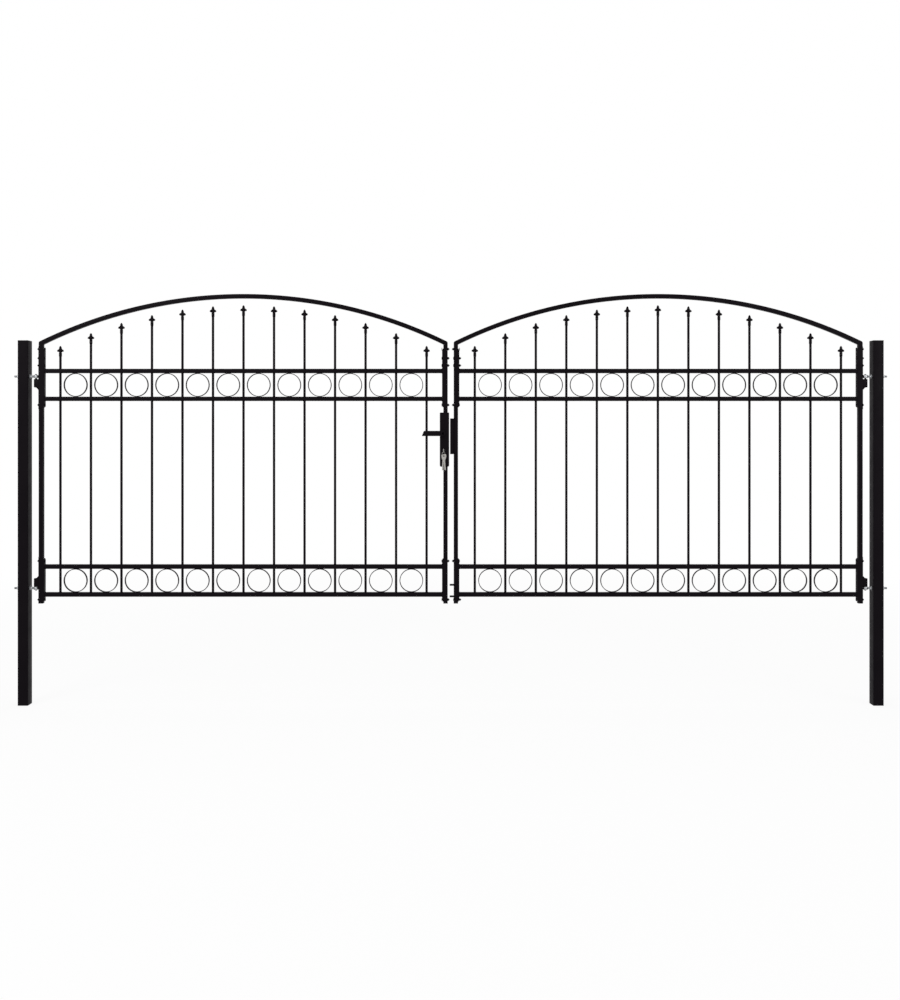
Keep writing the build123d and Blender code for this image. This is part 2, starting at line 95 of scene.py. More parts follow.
# %% Camera
photo_width_px = 900
photo_height_px = 1000
post_left_edge_px = 17.5
post_right_edge_px = 883.9
horizon_px = 428.6
camera_distance = 5.8
camera_height = 1.6
sensor = 36.0

post_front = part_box("left_post")[0].y
gate_width_px = post_right_edge_px - post_left_edge_px
gate_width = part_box("right_post")[1].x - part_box("left_post")[0].x
focal_px = camera_distance * gate_width_px / gate_width
pixel_at_gate = camera_distance / focal_px
aim_px = (post_left_edge_px + post_right_edge_px) / 2 - photo_width_px / 2

camera_data = bpy.data.cameras.new("camera")
camera_data.sensor_width = sensor
camera_data.lens = sensor * focal_px / photo_height_px
camera_data.shift_y = (horizon_px - photo_height_px / 2) / photo_height_px
camera = bpy.data.objects.new("camera", camera_data)
camera.location = (gate_middle - aim_px * pixel_at_gate, post_front - camera_distance, camera_height)
camera.rotation_euler = (math.pi / 2, 0, 0)
bpy.context.scene.collection.objects.link(camera)
bpy.context.scene.camera = camera
print("lens", round(camera_data.lens, 2), "shift", round(camera_data.shift_y, 3))


# %% [markdown]
# Five finishes cover the whole gate. Each is a Principled shader whose roughness and bump come from
# noise in the object's own metres, so the grain has its true size on every piece. The helpers below
# make the parts that they share: a noise at a given grain size, a range to map it to, a colour that
# drifts between two tones, and layers of bump. Noise seldom leaves the middle of its range, so that
# middle is what is stretched over the range asked for.

# %% Helpers for the finishes
noise_low = 0.3
noise_high = 0.7


def new_finish(name):
    """A material with its shader, and coordinates in the object's metres."""
    finish = bpy.data.materials.new(name)
    finish.use_nodes = True
    shader = finish.node_tree.nodes["Principled BSDF"]
    place = finish.node_tree.nodes.new("ShaderNodeTexCoord").outputs["Object"]
    return finish, shader, place


def grain(finish, place, size, detail=2.0, stretch=(1, 1, 1)):
    """Noise from 0 to 1 whose lumps are about `size` metres across."""
    nodes, links = finish.node_tree.nodes, finish.node_tree.links
    mapping = nodes.new("ShaderNodeMapping")
    mapping.inputs["Scale"].default_value = stretch
    texture = nodes.new("ShaderNodeTexNoise")
    texture.inputs["Scale"].default_value = 1 / size
    texture.inputs["Detail"].default_value = detail
    links.new(place, mapping.inputs["Vector"])
    links.new(mapping.outputs["Vector"], texture.inputs["Vector"])
    return texture.outputs["Fac"]


def spread(finish, value, low, high):
    """The noise stretched from its usual middle range to low..high."""
    node = finish.node_tree.nodes.new("ShaderNodeMapRange")
    node.inputs["From Min"].default_value = noise_low
    node.inputs["From Max"].default_value = noise_high
    node.inputs["To Min"].default_value = low
    node.inputs["To Max"].default_value = high
    finish.node_tree.links.new(value, node.inputs["Value"])
    return node.outputs["Result"]


def two_tone(finish, value, first, second):
    """A colour that drifts between two tones with the noise."""
    node = finish.node_tree.nodes.new("ShaderNodeMix")
    node.data_type = "RGBA"
    node.inputs["A"].default_value = (*first, 1)
    node.inputs["B"].default_value = (*second, 1)
    finish.node_tree.links.new(spread(finish, value, 0.0, 1.0), node.inputs["Factor"])
    return node.outputs["Result"]


def coat(finish, shader, colour, roughness):
    """Give the shader its colour and its roughness."""
    finish.node_tree.links.new(colour, shader.inputs["Base Color"])
    finish.node_tree.links.new(roughness, shader.inputs["Roughness"])


def bumps(finish, shader, layers):
    """Stack bump layers, each a noise, its height in metres and its strength, onto the shader."""
    nodes, links = finish.node_tree.nodes, finish.node_tree.links
    below = None
    for value, height, strength in layers:
        node = nodes.new("ShaderNodeBump")
        node.inputs["Distance"].default_value = height
        node.inputs["Strength"].default_value = strength
        links.new(value, node.inputs["Height"])
        if below is not None:
            links.new(below, node.inputs["Normal"])
        below = node.outputs["Normal"]
    links.new(below, shader.inputs["Normal"])


print("noise is stretched from", noise_low, "to", noise_high)

# %% [markdown]
# Powder coating is plastic dust melted onto the steel. It is nearly black, semi-matt, and has a
# fine orange peel: shallow dimples a few millimetres apart, with a finer grain between them. The
# tone and the gloss also drift slowly along each tube, as a sprayed coat does. A low specular level
# keeps the fronts as black as in the photograph, while the flanks still catch the pale surroundings.

# %% Black powder coat
coat_dark = (0.0031, 0.0018, 0.0032)
coat_light = (0.0047, 0.0031, 0.0047)
drift_size = 160 * mm
gloss_size = 50 * mm
peel_size = 2.8 * mm
dust_size = 0.6 * mm
peel_height = 0.06 * mm
dust_height = 0.02 * mm


def black_coat_finish():
    """Powder coating with drifting tone and gloss, orange peel and dust."""
    finish, shader, place = new_finish("black_powder_coat")
    drift = grain(finish, place, drift_size, detail=3)
    gloss = grain(finish, place, gloss_size, detail=4)
    coat(finish, shader, two_tone(finish, drift, coat_dark, coat_light), spread(finish, gloss, 0.36, 0.5))
    shader.inputs["Specular IOR Level"].default_value = 0.05
    peel = grain(finish, place, peel_size, detail=1)
    dust = grain(finish, place, dust_size, detail=2)
    bumps(finish, shader, [(peel, peel_height, 0.35), (dust, dust_height, 0.25)])
    return finish


black_coat = black_coat_finish()
print("made", black_coat.name)

# %% [markdown]
# The eye-bolts, nuts and washers are zinc-plated or galvanised: a pale grey metal, neither mirror
# nor matt, with a faint blotchy crystal pattern. Cells of a Voronoi texture give the crystals, and
# noise breaks up the gloss between them.

# %% Galvanised steel
zinc_dark = (0.36, 0.37, 0.385)
zinc_light = (0.50, 0.51, 0.52)
crystal_size = 4 * mm
zinc_gloss_size = 3 * mm
zinc_grain_size = 1.2 * mm
zinc_grain_height = 0.03 * mm


def galvanised_finish():
    """Zinc with blotchy crystals and a cloudy gloss."""
    finish, shader, place = new_finish("galvanised_steel")
    cells = finish.node_tree.nodes.new("ShaderNodeTexVoronoi")
    cells.inputs["Scale"].default_value = 1 / crystal_size
    finish.node_tree.links.new(place, cells.inputs["Vector"])
    tone = two_tone(finish, cells.outputs["Distance"], zinc_dark, zinc_light)
    gloss = grain(finish, place, zinc_gloss_size, detail=4)
    coat(finish, shader, tone, spread(finish, gloss, 0.34, 0.52))
    shader.inputs["Metallic"].default_value = 1.0
    bumps(finish, shader, [(grain(finish, place, zinc_grain_size, detail=2), zinc_grain_height, 0.4)])
    return finish


galvanised = galvanised_finish()
print("made", galvanised.name)

# %% [markdown]
# The post caps and the plugs in the feet are moulded plastic, which is blacker and duller than the
# coat beside it, with the fine spark-eroded grain of the mould.

# %% Black plastic
plastic_dark = (0.0028, 0.0028, 0.003)
plastic_light = (0.0052, 0.0052, 0.0055)
plastic_drift_size = 20 * mm
mould_grain_size = 0.5 * mm
mould_grain_height = 0.02 * mm


def black_plastic_finish():
    """Dull moulded plastic with the grain of its mould."""
    finish, shader, place = new_finish("black_moulded_plastic")
    drift = grain(finish, place, plastic_drift_size, detail=3)
    tone = two_tone(finish, drift, plastic_dark, plastic_light)
    coat(finish, shader, tone, spread(finish, drift, 0.5, 0.62))
    shader.inputs["Specular IOR Level"].default_value = 0.2
    bumps(finish, shader, [(grain(finish, place, mould_grain_size, detail=1), mould_grain_height, 0.6)])
    return finish


black_plastic = black_plastic_finish()
print("made", black_plastic.name)

# %% [markdown]
# The keys and their ring are nickel-plated brass: brighter and warmer than the zinc, with hair-fine
# brushing that runs along the piece. The noise is drawn out fiftyfold in Z, so that the brushing
# shows only as a soft streak.

# %% Brushed nickel
nickel_dark = (0.34, 0.33, 0.31)
nickel_light = (0.48, 0.465, 0.44)
hair_size = 0.6 * mm
hair_height = 0.01 * mm
hair_stretch = (1, 1, 0.02)


def nickel_finish():
    """Bright warm metal, brushed along Z."""
    finish, shader, place = new_finish("brushed_nickel")
    hairs = grain(finish, place, hair_size, detail=3, stretch=hair_stretch)
    tone = two_tone(finish, hairs, nickel_dark, nickel_light)
    coat(finish, shader, tone, spread(finish, hairs, 0.2, 0.38))
    shader.inputs["Metallic"].default_value = 1.0
    bumps(finish, shader, [(hairs, hair_height, 0.5)])
    return finish


nickel = nickel_finish()
print("made", nickel.name)

# %% [markdown]
# The lock cylinder is nickel too, but blackened to match the case. It is a dark metal with a dull
# gleam, worn a little brighter in cloudy patches where keys and fingers rub it.

# %% Blackened nickel
black_nickel_dark = (0.018, 0.017, 0.018)
black_nickel_worn = (0.05, 0.048, 0.047)
wear_size = 6 * mm
cylinder_grain_size = 0.7 * mm
cylinder_grain_height = 0.01 * mm


def black_nickel_finish():
    """Dark metal, brighter and smoother where it is worn."""
    finish, shader, place = new_finish("black_nickel")
    wear = grain(finish, place, wear_size, detail=4)
    tone = two_tone(finish, wear, black_nickel_dark, black_nickel_worn)
    coat(finish, shader, tone, spread(finish, wear, 0.42, 0.28))
    shader.inputs["Metallic"].default_value = 1.0
    fine = grain(finish, place, cylinder_grain_size, detail=2)
    bumps(finish, shader, [(fine, cylinder_grain_height, 0.5)])
    return finish


black_nickel = black_nickel_finish()
slot_finish = {
    "black_coat": black_coat,
    "galvanised": galvanised,
    "black_plastic": black_plastic,
    "nickel": nickel,
    "black_nickel": black_nickel,
}
print("made", black_nickel.name)


# %% [markdown]
# Almost everything on the gate is a section carried along a line: tubes, bars, rings, bolts. So the
# main tool here is a loft in mesh code: a list of loops with equally many points, joined by quads.
# A primitive cube or cylinder would give hard edges and no control over the corners. The second
# helper turns a finished bmesh into a piece that rides on its body and stands for its node. An edge
# stays sharp above an angle, which is larger on cast and welded pieces, where shading runs on.

# %% Loft and piece
tube_crease = 32
cast_crease = 40
round_crease = 60


def loft(bm, loops, closed=False):
    """Join loops of points with quads. Closed joins the last loop to the first, else caps end it."""
    rows = [[bm.verts.new(p) for p in loop] for loop in loops]
    pairs = list(zip(rows[:-1], rows[1:]))
    if closed:
        pairs.append((rows[-1], rows[0]))
    for below, above in pairs:
        for i in range(len(below)):
            j = (i + 1) % len(below)
            bm.faces.new((below[i], below[j], above[j], above[i]))
    if not closed:
        bm.faces.new(list(reversed(rows[0])))
        bm.faces.new(rows[-1])


def add_piece(name, bm, body, slot, replaced=(), crease=tube_crease):
    """Make the bmesh an object with its finish, smooth except at edges sharper than `crease` degrees."""
    bmesh.ops.recalc_face_normals(bm, faces=bm.faces)
    mesh = bpy.data.meshes.new(name)
    bm.to_mesh(mesh)
    bm.free()
    mesh.polygons.foreach_set("use_smooth", [True] * len(mesh.polygons))
    mesh.set_sharp_from_angle(angle=math.radians(crease))
    mesh.materials.append(slot_finish[slot])
    piece = bpy.data.objects.new(name, mesh)
    bpy.context.scene.collection.objects.link(piece)
    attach(piece, body)
    if replaced:
        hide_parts(*replaced)


print("sharp above", tube_crease, cast_crease, round_crease, "degrees")

# %% [markdown]
# The loops come from two outlines: an arc, and a rectangle with round corners, which is four arcs.
# A full circle is only a list of angles, as its radius may change from one direction to the next.

# %% Outlines
def full_turn(steps):
    """Angles in radians, evenly spaced round a full circle."""
    return [2 * math.pi * i / steps for i in range(steps)]


def arc(centre, radius, start, end, steps):
    """Points on an arc, as pairs, from one angle to another in degrees, both ends included."""
    angles = [math.radians(start + (end - start) * i / steps) for i in range(steps + 1)]
    return [(centre[0] + radius * math.cos(a), centre[1] + radius * math.sin(a)) for a in angles]


def rounded_rectangle(width, height, radius, foot_radius=None, steps=4):
    """Outline of a rectangle about the origin, with round corners, anticlockwise from the right."""
    low_radius = radius if foot_radius is None else foot_radius
    outline = []
    for x, y, turn, r in ((1, 1, 0, radius), (-1, 1, 90, radius),
                          (-1, -1, 180, low_radius), (1, -1, 270, low_radius)):
        outline += arc((x * (width / 2 - r), y * (height / 2 - r)), r, turn, turn + 90, steps)
    return outline


print("points on a rounded square", len(rounded_rectangle(1, 1, 0.1)))

# %% [markdown]
# The posts, stiles and rails are rolled square tube. Its corners aren't sharp: rolling leaves a
# radius of about the wall's thickness, and the thin line of light along that radius is what tells
# the eye that it is steel. A subdivided box would shrink away from the frame's size, so the tube is
# lofted from two rounded rectangles, outer and bore, along whichever axis is the long one.

# %% Square tube
def along(axis, distance, u, v):
    """A point at a distance along an axis, with u and v across it."""
    if axis == "x":
        return Vector((distance, u, v))
    if axis == "y":
        return Vector((u, distance, v))
    return Vector((u, v, distance))


def split(point, axis):
    """The three places of a point: along the axis, and the two across it."""
    long_way = "xyz".index(axis)
    return point[long_way], *[point[i] for i in range(3) if i != long_way]


def square_tube(bm, low, high, axis, wall, corner):
    """Hollow tube that fills a box, open at both ends."""
    start, low_u, low_v = split(low, axis)
    end, high_u, high_v = split(high, axis)
    width, height = high_u - low_u, high_v - low_v
    middle_u, middle_v = (low_u + high_u) / 2, (low_v + high_v) / 2
    outer = rounded_rectangle(width, height, corner)
    bore = rounded_rectangle(width - 2 * wall, height - 2 * wall, corner - wall)
    loops = []
    for outline, place in ((outer, start), (outer, end), (bore, end), (bore, start)):
        loops.append([along(axis, place, middle_u + u, middle_v + v) for u, v in outline])
    loft(bm, loops, closed=True)


print("along and across Z", split((1, 2, 3), "z"))

# %% [markdown]
# Each post is a 60 mm tube, shown from its capped top to the foot that is later set in concrete.

# %% Posts
post_wall = 2 * mm
post_corner = 3.5 * mm
for side in sides:
    low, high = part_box(side + "_post")
    bm = bmesh.new()
    square_tube(bm, low, high, "z", post_wall, post_corner)
    add_piece(side + "_post_tube", bm, "posts", "black_coat", [side + "_post"])
    print(side, "post", [round(v, 3) for v in high - low])


# %% [markdown]
# The caps and the foot plugs are flat plates with a soft outer edge, pressed into the tube by a
# skirt that can't be seen. The edge is rolled over by insetting the outline a little at each step
# towards the face, which follows a quarter circle.

# %% Plates with soft edges
def soft_plate(bm, outline_at, start, end, edge, axis="z", steps=4):
    """Solid between two faces along an axis, with the edges of both faces rounded over."""
    direction = 1 if end > start else -1
    turns = [math.pi / 2 * i / steps for i in range(steps + 1)]
    roll = [(edge * (1 - math.cos(a)), edge * (1 - math.sin(a))) for a in turns]
    stations = [(start + direction * depth, inset) for depth, inset in roll]
    stations += [(end - direction * depth, inset) for depth, inset in reversed(roll)]
    loft(bm, [[along(axis, place, u, v) for u, v in outline_at(inset)] for place, inset in stations])


def square_outline(middle, width, corner):
    """Outline function for a square plate about a middle point."""
    def at(inset):
        outline = rounded_rectangle(width - 2 * inset, width - 2 * inset, corner - inset)
        return [(middle[0] + u, middle[1] + v) for u, v in outline]
    return at


print("points on a plate's edge", len(square_outline((0, 0), 1, 0.1)(0)))

# %% [markdown]
# A cap lies on the top of each post, and a plug closes its foot. The two caps are one piece, and so
# are the two plugs, as they stand for one node each.

# %% Post caps and foot plugs
cap_thickness = 4 * mm
cap_edge = 1.4 * mm
for name, node in (("post_cap", "post_caps"), ("foot_plug", "foot_plugs")):
    bm = bmesh.new()
    low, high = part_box(node)
    for side in sides:
        post_low, post_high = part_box(side + "_post")
        middle = ((post_low.x + post_high.x) / 2, 0)
        at = square_outline(middle, post_high.x - post_low.x, post_corner)
        foot = high.z - cap_thickness if name == "post_cap" else low.z
        top = high.z if name == "post_cap" else low.z + cap_thickness
        soft_plate(bm, at, foot, top, cap_edge)
    add_piece(name + "_plates", bm, "posts", "black_plastic", [node])
    print(name, "plates made")

# %% [markdown]
# The stiles are the two uprights of a leaf, 25 mm tube. The left leaf's meeting stile is interrupted
# by the lock case, so it comes as two lengths, one below and one above the case.

# %% Stiles
frame_wall = 1.5 * mm
frame_corner = 2.5 * mm
lock_low, lock_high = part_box("lock_case")
for side in sides:
    for stile in ("hinge_stile", "meeting_stile"):
        node = side + "_" + stile
        low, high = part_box(node)
        bm = bmesh.new()
        if node == "left_meeting_stile":
            square_tube(bm, low, Vector((high.x, high.y, lock_low.z)), "z", frame_wall, frame_corner)
            square_tube(bm, Vector((low.x, low.y, lock_high.z)), high, "z", frame_wall, frame_corner)
        else:
            square_tube(bm, low, high, "z", frame_wall, frame_corner)
        add_piece(node + "_tube", bm, side + "_leaf", "black_coat", [node])
print("stiles made")

# %% [markdown]
# A small plug closes the foot of each stile. It is the same soft plate at the stile's size, so no
# new tool is needed.

# %% Stile plugs
stile_plug = 3 * mm
stile_plug_edge = 1 * mm
for side in sides:
    low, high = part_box(side + "_stile_caps")
    bm = bmesh.new()
    for stile in ("hinge_stile", "meeting_stile"):
        tube_low, tube_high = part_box(side + "_" + stile)
        middle = ((tube_low.x + tube_high.x) / 2, 0)
        at = square_outline(middle, tube_high.x - tube_low.x, frame_corner)
        soft_plate(bm, at, low.z, low.z + stile_plug, stile_plug_edge)
    add_piece(side + "_stile_plugs", bm, side + "_leaf", "black_plastic", [side + "_stile_caps"])
print("stile plugs made")


# %% [markdown]
# Two pairs of 25 mm tubes run across each leaf. The tube helper makes them too, with X as the long
# axis. Their heights come from the node's box: the two rails of a pair lie at its top and bottom.

# %% Rails
rail_side = 25 * mm
rail_corner = 2 * mm
rail_heights = {side: [] for side in sides}
for side in sides:
    for pair in ("lower", "upper"):
        node = side + "_" + pair + "_rails"
        low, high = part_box(node)
        bm = bmesh.new()
        for foot in (low.z, high.z - rail_side):
            square_tube(bm, Vector((low.x, low.y, foot)), Vector((high.x, high.y, foot + rail_side)),
                        "x", frame_wall, rail_corner)
            rail_heights[side].append(foot + rail_side / 2)
        add_piece(node + "_tubes", bm, side + "_leaf", "black_coat", [node])
print("rail heights", [round(h, 4) for h in rail_heights["left"]])


# %% [markdown]
# The arched top tube is one length, bent to a large radius and turned down at both ends into short
# legs. The bend at each end is tight: 12 mm on the outside and 3 mm on the inside. A curve with a
# bevel would pinch there, so the sections are placed one by one: each joins a point of the outer edge
# to its partner on the inner edge, through leg, bend and arc, by the same share of each stretch.
# The arc's radius isn't given anywhere. It follows from the rise over half the leaf's width, by the
# rule for a chord: half the chord squared plus the rise squared, over twice the rise.

# %% Arch edges
arch_leg = 119 * mm
outer_bend = 12 * mm
inner_bend = 3 * mm
frame_tube = 25 * mm


def arch_arc(low, high):
    """Centre in X and Z, and outer radius, of the arc that tops a box whose legs are `arch_leg` long."""
    reach = (high.x - low.x) / 2
    rise = high.z - low.z - arch_leg
    radius = (reach ** 2 + rise ** 2) / (2 * rise)
    return ((low.x + high.x) / 2, high.z - radius), radius


def arch_edge(centre, radius, reach, bend, foot, bend_steps=6, arc_steps=44):
    """Right half of one edge of the arch, from the foot of the leg to the top, as X-Z pairs."""
    bend_x = reach - bend
    bend_z = math.sqrt((radius - bend) ** 2 - bend_x ** 2)
    meet = math.degrees(math.atan2(bend_z, bend_x))
    leg = [(reach, foot - centre[1]), (reach, (foot - centre[1] + bend_z) / 2)]
    turn = arc((bend_x, bend_z), bend, 0, meet, bend_steps)
    sweep = arc((0, 0), radius, meet, 90, arc_steps)
    return [(centre[0] + x, centre[1] + z) for x, z in leg + turn + sweep[1:]]


def mirrored(points, x):
    """The points, followed by their mirror images about X, without the middle one twice."""
    return points + [(2 * x - px, z) for px, z in reversed(points[:-1])]


# %% [markdown]
# The section at each station is a rounded square, stretched to the distance between the two edges.

# %% Arches
def arch_section(outer, inner, depth, corner):
    """Rounded section that spans from an inner to an outer point, `depth` deep along Y."""
    span = math.dist(outer, inner)
    direction = ((outer[0] - inner[0]) / span, (outer[1] - inner[1]) / span)
    middle = ((outer[0] + inner[0]) / 2, (outer[1] + inner[1]) / 2)
    section = rounded_rectangle(span, depth, corner)
    return [Vector((middle[0] + u * direction[0], v, middle[1] + u * direction[1])) for u, v in section]


for side in sides:
    low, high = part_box(side + "_arch")
    reach = (high.x - low.x) / 2
    centre, outer_radius = arch_arc(low, high)
    outer = arch_edge(centre, outer_radius, reach, outer_bend, low.z)
    inner = arch_edge(centre, outer_radius - frame_tube, reach - frame_tube, inner_bend, low.z)
    stations = zip(mirrored(outer, centre[0]), mirrored(inner, centre[0]))
    bm = bmesh.new()
    loft(bm, [arch_section(o, i, frame_tube, frame_corner) for o, i in stations])
    add_piece(side + "_arch_tube", bm, side + "_leaf", "black_coat", [side + "_arch"])
    print(side, "arch radius", round(outer_radius, 3), "top at", round(high.z, 3))


# %% [markdown]
# Folded channels carry the rails on the stiles: 2 mm sheet, wrapped round the stile from the leaf's
# inner side, with a bend radius of 3 mm. The section is drawn once, in distances inward from the
# stile's outer face, and carried along Z. A slice is cut off each end at a slant, as these channels are.

# %% Sleeves
sleeve_wall = 2 * mm
sleeve_bend = 3 * mm
sleeve_slant = 22 * mm
lower_sleeve_length = 271 * mm
upper_sleeve_length = 363 * mm


def channel_section(depth_in, width):
    """Outline of a channel that opens at 0 and has its web at `depth_in`."""
    half = width / 2
    bend_in = sleeve_bend - sleeve_wall
    centre_u, centre_v = depth_in - sleeve_bend, half - sleeve_bend
    outer = [(0, -half), *arc((centre_u, -centre_v), sleeve_bend, 270, 360, 4),
             *arc((centre_u, centre_v), sleeve_bend, 0, 90, 4), (0, half)]
    inner = [(0, half - sleeve_wall), *arc((centre_u, centre_v), bend_in, 90, 0, 4),
             *arc((centre_u, -centre_v), bend_in, 0, -90, 4), (0, -half + sleeve_wall)]
    return outer + inner


def sleeve(bm, x_outer, inward, depth_in, width, foot, top):
    """One channel. The share beyond the stile is cut back at both ends."""
    def slant(u):
        return sleeve_slant * max(0.0, u - frame_tube) / (depth_in - frame_tube)
    section = channel_section(depth_in, width)
    loops = [[Vector((x_outer + inward * u, v, foot + slant(u))) for u, v in section],
             [Vector((x_outer + inward * u, v, top - slant(u))) for u, v in section]]
    loft(bm, loops)


for side, sign in sides.items():
    for stile, inward in (("hinge", -sign), ("meeting", sign)):
        node = side + "_" + stile + "_sleeves"
        low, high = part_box(node)
        x_outer = low.x if inward > 0 else high.x
        spans = [(low.z, low.z + lower_sleeve_length), (high.z - upper_sleeve_length, high.z)]
        bm = bmesh.new()
        for foot, top in spans:
            sleeve(bm, x_outer, inward, high.x - low.x, high.y - low.y, foot, top)
        add_piece(node + "_channels", bm, side + "_leaf", "black_coat", [node])
print("sleeves made")


# %% [markdown]
# The infill of a leaf is thirteen round bars. Each is one length on the real gate: it starts inside
# the lowest rail and passes through holes in the other three. A turned profile, spun about the bar's
# axis, gives a bar, and the same helper later makes bolt heads, hubs and eyes.

# %% Turned solids
def turned(bm, origin, axis, profile, steps=24):
    """Spin (distance, radius) pairs about an axis through the origin. The first and last are closed."""
    start, u0, v0 = split(origin, axis)
    loops = []
    for distance, r in profile:
        loops.append([along(axis, start + distance, u0 + r * math.cos(a), v0 + r * math.sin(a))
                      for a in full_turn(steps)])
    loft(bm, loops)


print("turned solids ready")

# %% [markdown]
# The tips of the finials follow the arch: 51 mm below its centre line in the middle of the leaf and
# 66 mm below it at the outermost bars. Each bar ends a little way up in its finial's socket.

# %% Bars
bar_radius = 7 * mm
bar_count = 13
bar_pitch = 177 * mm
bar_in_socket = 4 * mm
finial_height = 62 * mm
finial_below_middle = 51 * mm
finial_below_end = 66 * mm
bar_reach = bar_pitch * (bar_count - 1) / 2
bar_offsets = [bar_pitch * i - bar_reach for i in range(bar_count)]
leaf_middle = {side: sum(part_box(side + "_arch")[i].x for i in (0, 1)) / 2 for side in sides}
arch_centre, arch_outer_radius = arch_arc(*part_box("left_arch"))
arch_middle_radius = arch_outer_radius - frame_tube / 2


def finial_tip(offset):
    """Height of a finial's tip at a distance from the leaf's middle."""
    drop = finial_below_middle + (finial_below_end - finial_below_middle) * (offset / bar_reach) ** 2
    return arch_centre[1] + math.sqrt(arch_middle_radius ** 2 - offset ** 2) - drop


for side in sides:
    bm = bmesh.new()
    foot = min(rail_heights[side])
    for offset in bar_offsets:
        top = finial_tip(offset) - finial_height + bar_in_socket
        turned(bm, (leaf_middle[side] + offset, 0, foot), "z", [(0, bar_radius), (top - foot, bar_radius)])
    add_piece(side + "_round_bars", bm, side + "_leaf", "black_coat", [side + "_bars"])
print("bars", 2 * bar_count)


# %% [markdown]
# Each bar ends in a small cast spearhead: a slim leaf with a blunt point to each side, on a round
# socket that slips over the bar. The outline is drawn in millimetres below the tip, as curves that
# each leave one point and reach the next, drawn towards a third. The casting is thickest in the
# middle, so the outline is carried through the thickness and drawn in towards both faces.

# %% Finial outline
finial_middle_drop = 29 * mm
finial_thickness = 10 * mm


def bend_between(start, pull, end, steps=5):
    """Points on a quadratic curve that leaves `start` and reaches `end`, drawn towards `pull`."""
    shares = [i / steps for i in range(steps)]
    return [tuple((1 - t) ** 2 * a + 2 * t * (1 - t) * p + t * t * b for a, p, b in zip(start, pull, end))
            for t in shares]


def spearhead_outline():
    """Outline about the middle of the side points, from the tip down the right side and back up."""
    tip, leaf, waist = (0, 0), (7.5, -13), (11, -20.5)
    point, heel, root = (19, -29), (14, -34.5), (8, -38)
    right = bend_between(tip, (6.4, -4), leaf)
    right += bend_between(leaf, (7.2, -18), waist)
    right += bend_between(waist, (18.6, -23.5), point)
    right += bend_between(point, (18.6, -34), heel)
    right += bend_between(heel, (8.5, -35), root)
    right.append(root)
    right = [(x * mm, z * mm + finial_middle_drop) for x, z in right]
    left = [(-x, z) for x, z in reversed(right[1:])]
    return left + right


spearhead = spearhead_outline()
print("outline points", len(spearhead))

# %% [markdown]
# Both faces roll off towards the edge in four steps, each a depth and the share of the outline that
# is left there. The socket is turned, with a soft rim at its foot and a shoulder that runs up into
# the leaf.

# %% Finials
face_rolls = [(0.12, 1), (0.2, 0.93), (0.36, 0.66), (0.5, 0.42)]
spear_stations = [(-depth, share) for depth, share in reversed(face_rolls)] + face_rolls
socket_radius = 8.5 * mm
socket_rim = 0.8 * mm
socket_height = 20 * mm
shoulder_height = 26 * mm
shoulder_radius = 0.72 * socket_radius
root_height = 31 * mm
root_radius = 0.4 * socket_radius
socket_profile = [(0, socket_radius - socket_rim), (socket_rim, socket_radius),
                  (socket_height, socket_radius), (shoulder_height, shoulder_radius),
                  (root_height, root_radius)]
for side in sides:
    bm = bmesh.new()
    for offset in bar_offsets:
        x, tip = leaf_middle[side] + offset, finial_tip(offset)
        z = tip - finial_middle_drop
        loft(bm, [[Vector((x + share * u, depth * finial_thickness, z + share * v)) for u, v in spearhead]
                  for depth, share in spear_stations])
        turned(bm, (x, 0, tip - finial_height), "z", socket_profile)
    add_piece(side + "_spearheads", bm, side + "_leaf", "black_coat", [side + "_finials"],
              crease=cast_crease)
print("finials", 2 * bar_count)


# %% [markdown]
# Between the two rails of each pair stands a row of rings: flat strip, 14 mm wide, rolled on edge to
# a circle that touches both rails. A torus would be round in section, so a thin rounded rectangle is
# carried round a circle about Y.

# %% Rings
ring_depth = 14 * mm
ring_strip = 4 * mm
strip_corner = 0.7 * mm
ring_steps = 72


def strip_ring(bm, centre, outer_radius):
    """One ring of flat strip about the Y axis."""
    section = rounded_rectangle(ring_strip, ring_depth, strip_corner, steps=2)
    loops = []
    for angle in full_turn(ring_steps):
        radial = Vector((math.cos(angle), 0, math.sin(angle)))
        middle = Vector(centre) + (outer_radius - ring_strip / 2) * radial
        loops.append([middle + u * radial + Vector((0, v, 0)) for u, v in section])
    loft(bm, loops, closed=True)


ring_places = [(a + b) / 2 for a, b in zip(bar_offsets[:-1], bar_offsets[1:])]
ring_rows = {}
for side in sides:
    for pair in ("lower", "upper"):
        node = side + "_" + pair + "_rings"
        low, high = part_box(node)
        ring_rows[node] = ((low.z + high.z) / 2, (high.z - low.z) / 2)
        bm = bmesh.new()
        for place in ring_places:
            strip_ring(bm, (leaf_middle[side] + place, 0, ring_rows[node][0]), ring_rows[node][1])
        add_piece(node + "_rolled", bm, side + "_leaf", "black_coat", [node])
print("rings", 4 * len(ring_places), "radius", round(ring_rows["left_lower_rings"][1], 4))


# %% [markdown]
# Welds hold it all together. A weld bead is a low ridge with ripples where the torch moved on, and
# the coat runs smoothly over it. Each bead is a thin tube that swells and shrinks along its way, by
# a sine for the ripples and a little noise for the hand, and sinks into the corner that it fills. Its
# ends taper to a share of its full radius, over the first and the last part of its length.

# %% Weld beads
bead_step = 1.2 * mm
bead_ripple = 3.4 * mm
ripple_share = 0.12
hand_share = 0.12
hand_scale = 300
bead_end_share = 0.45
bead_end_slope = 4


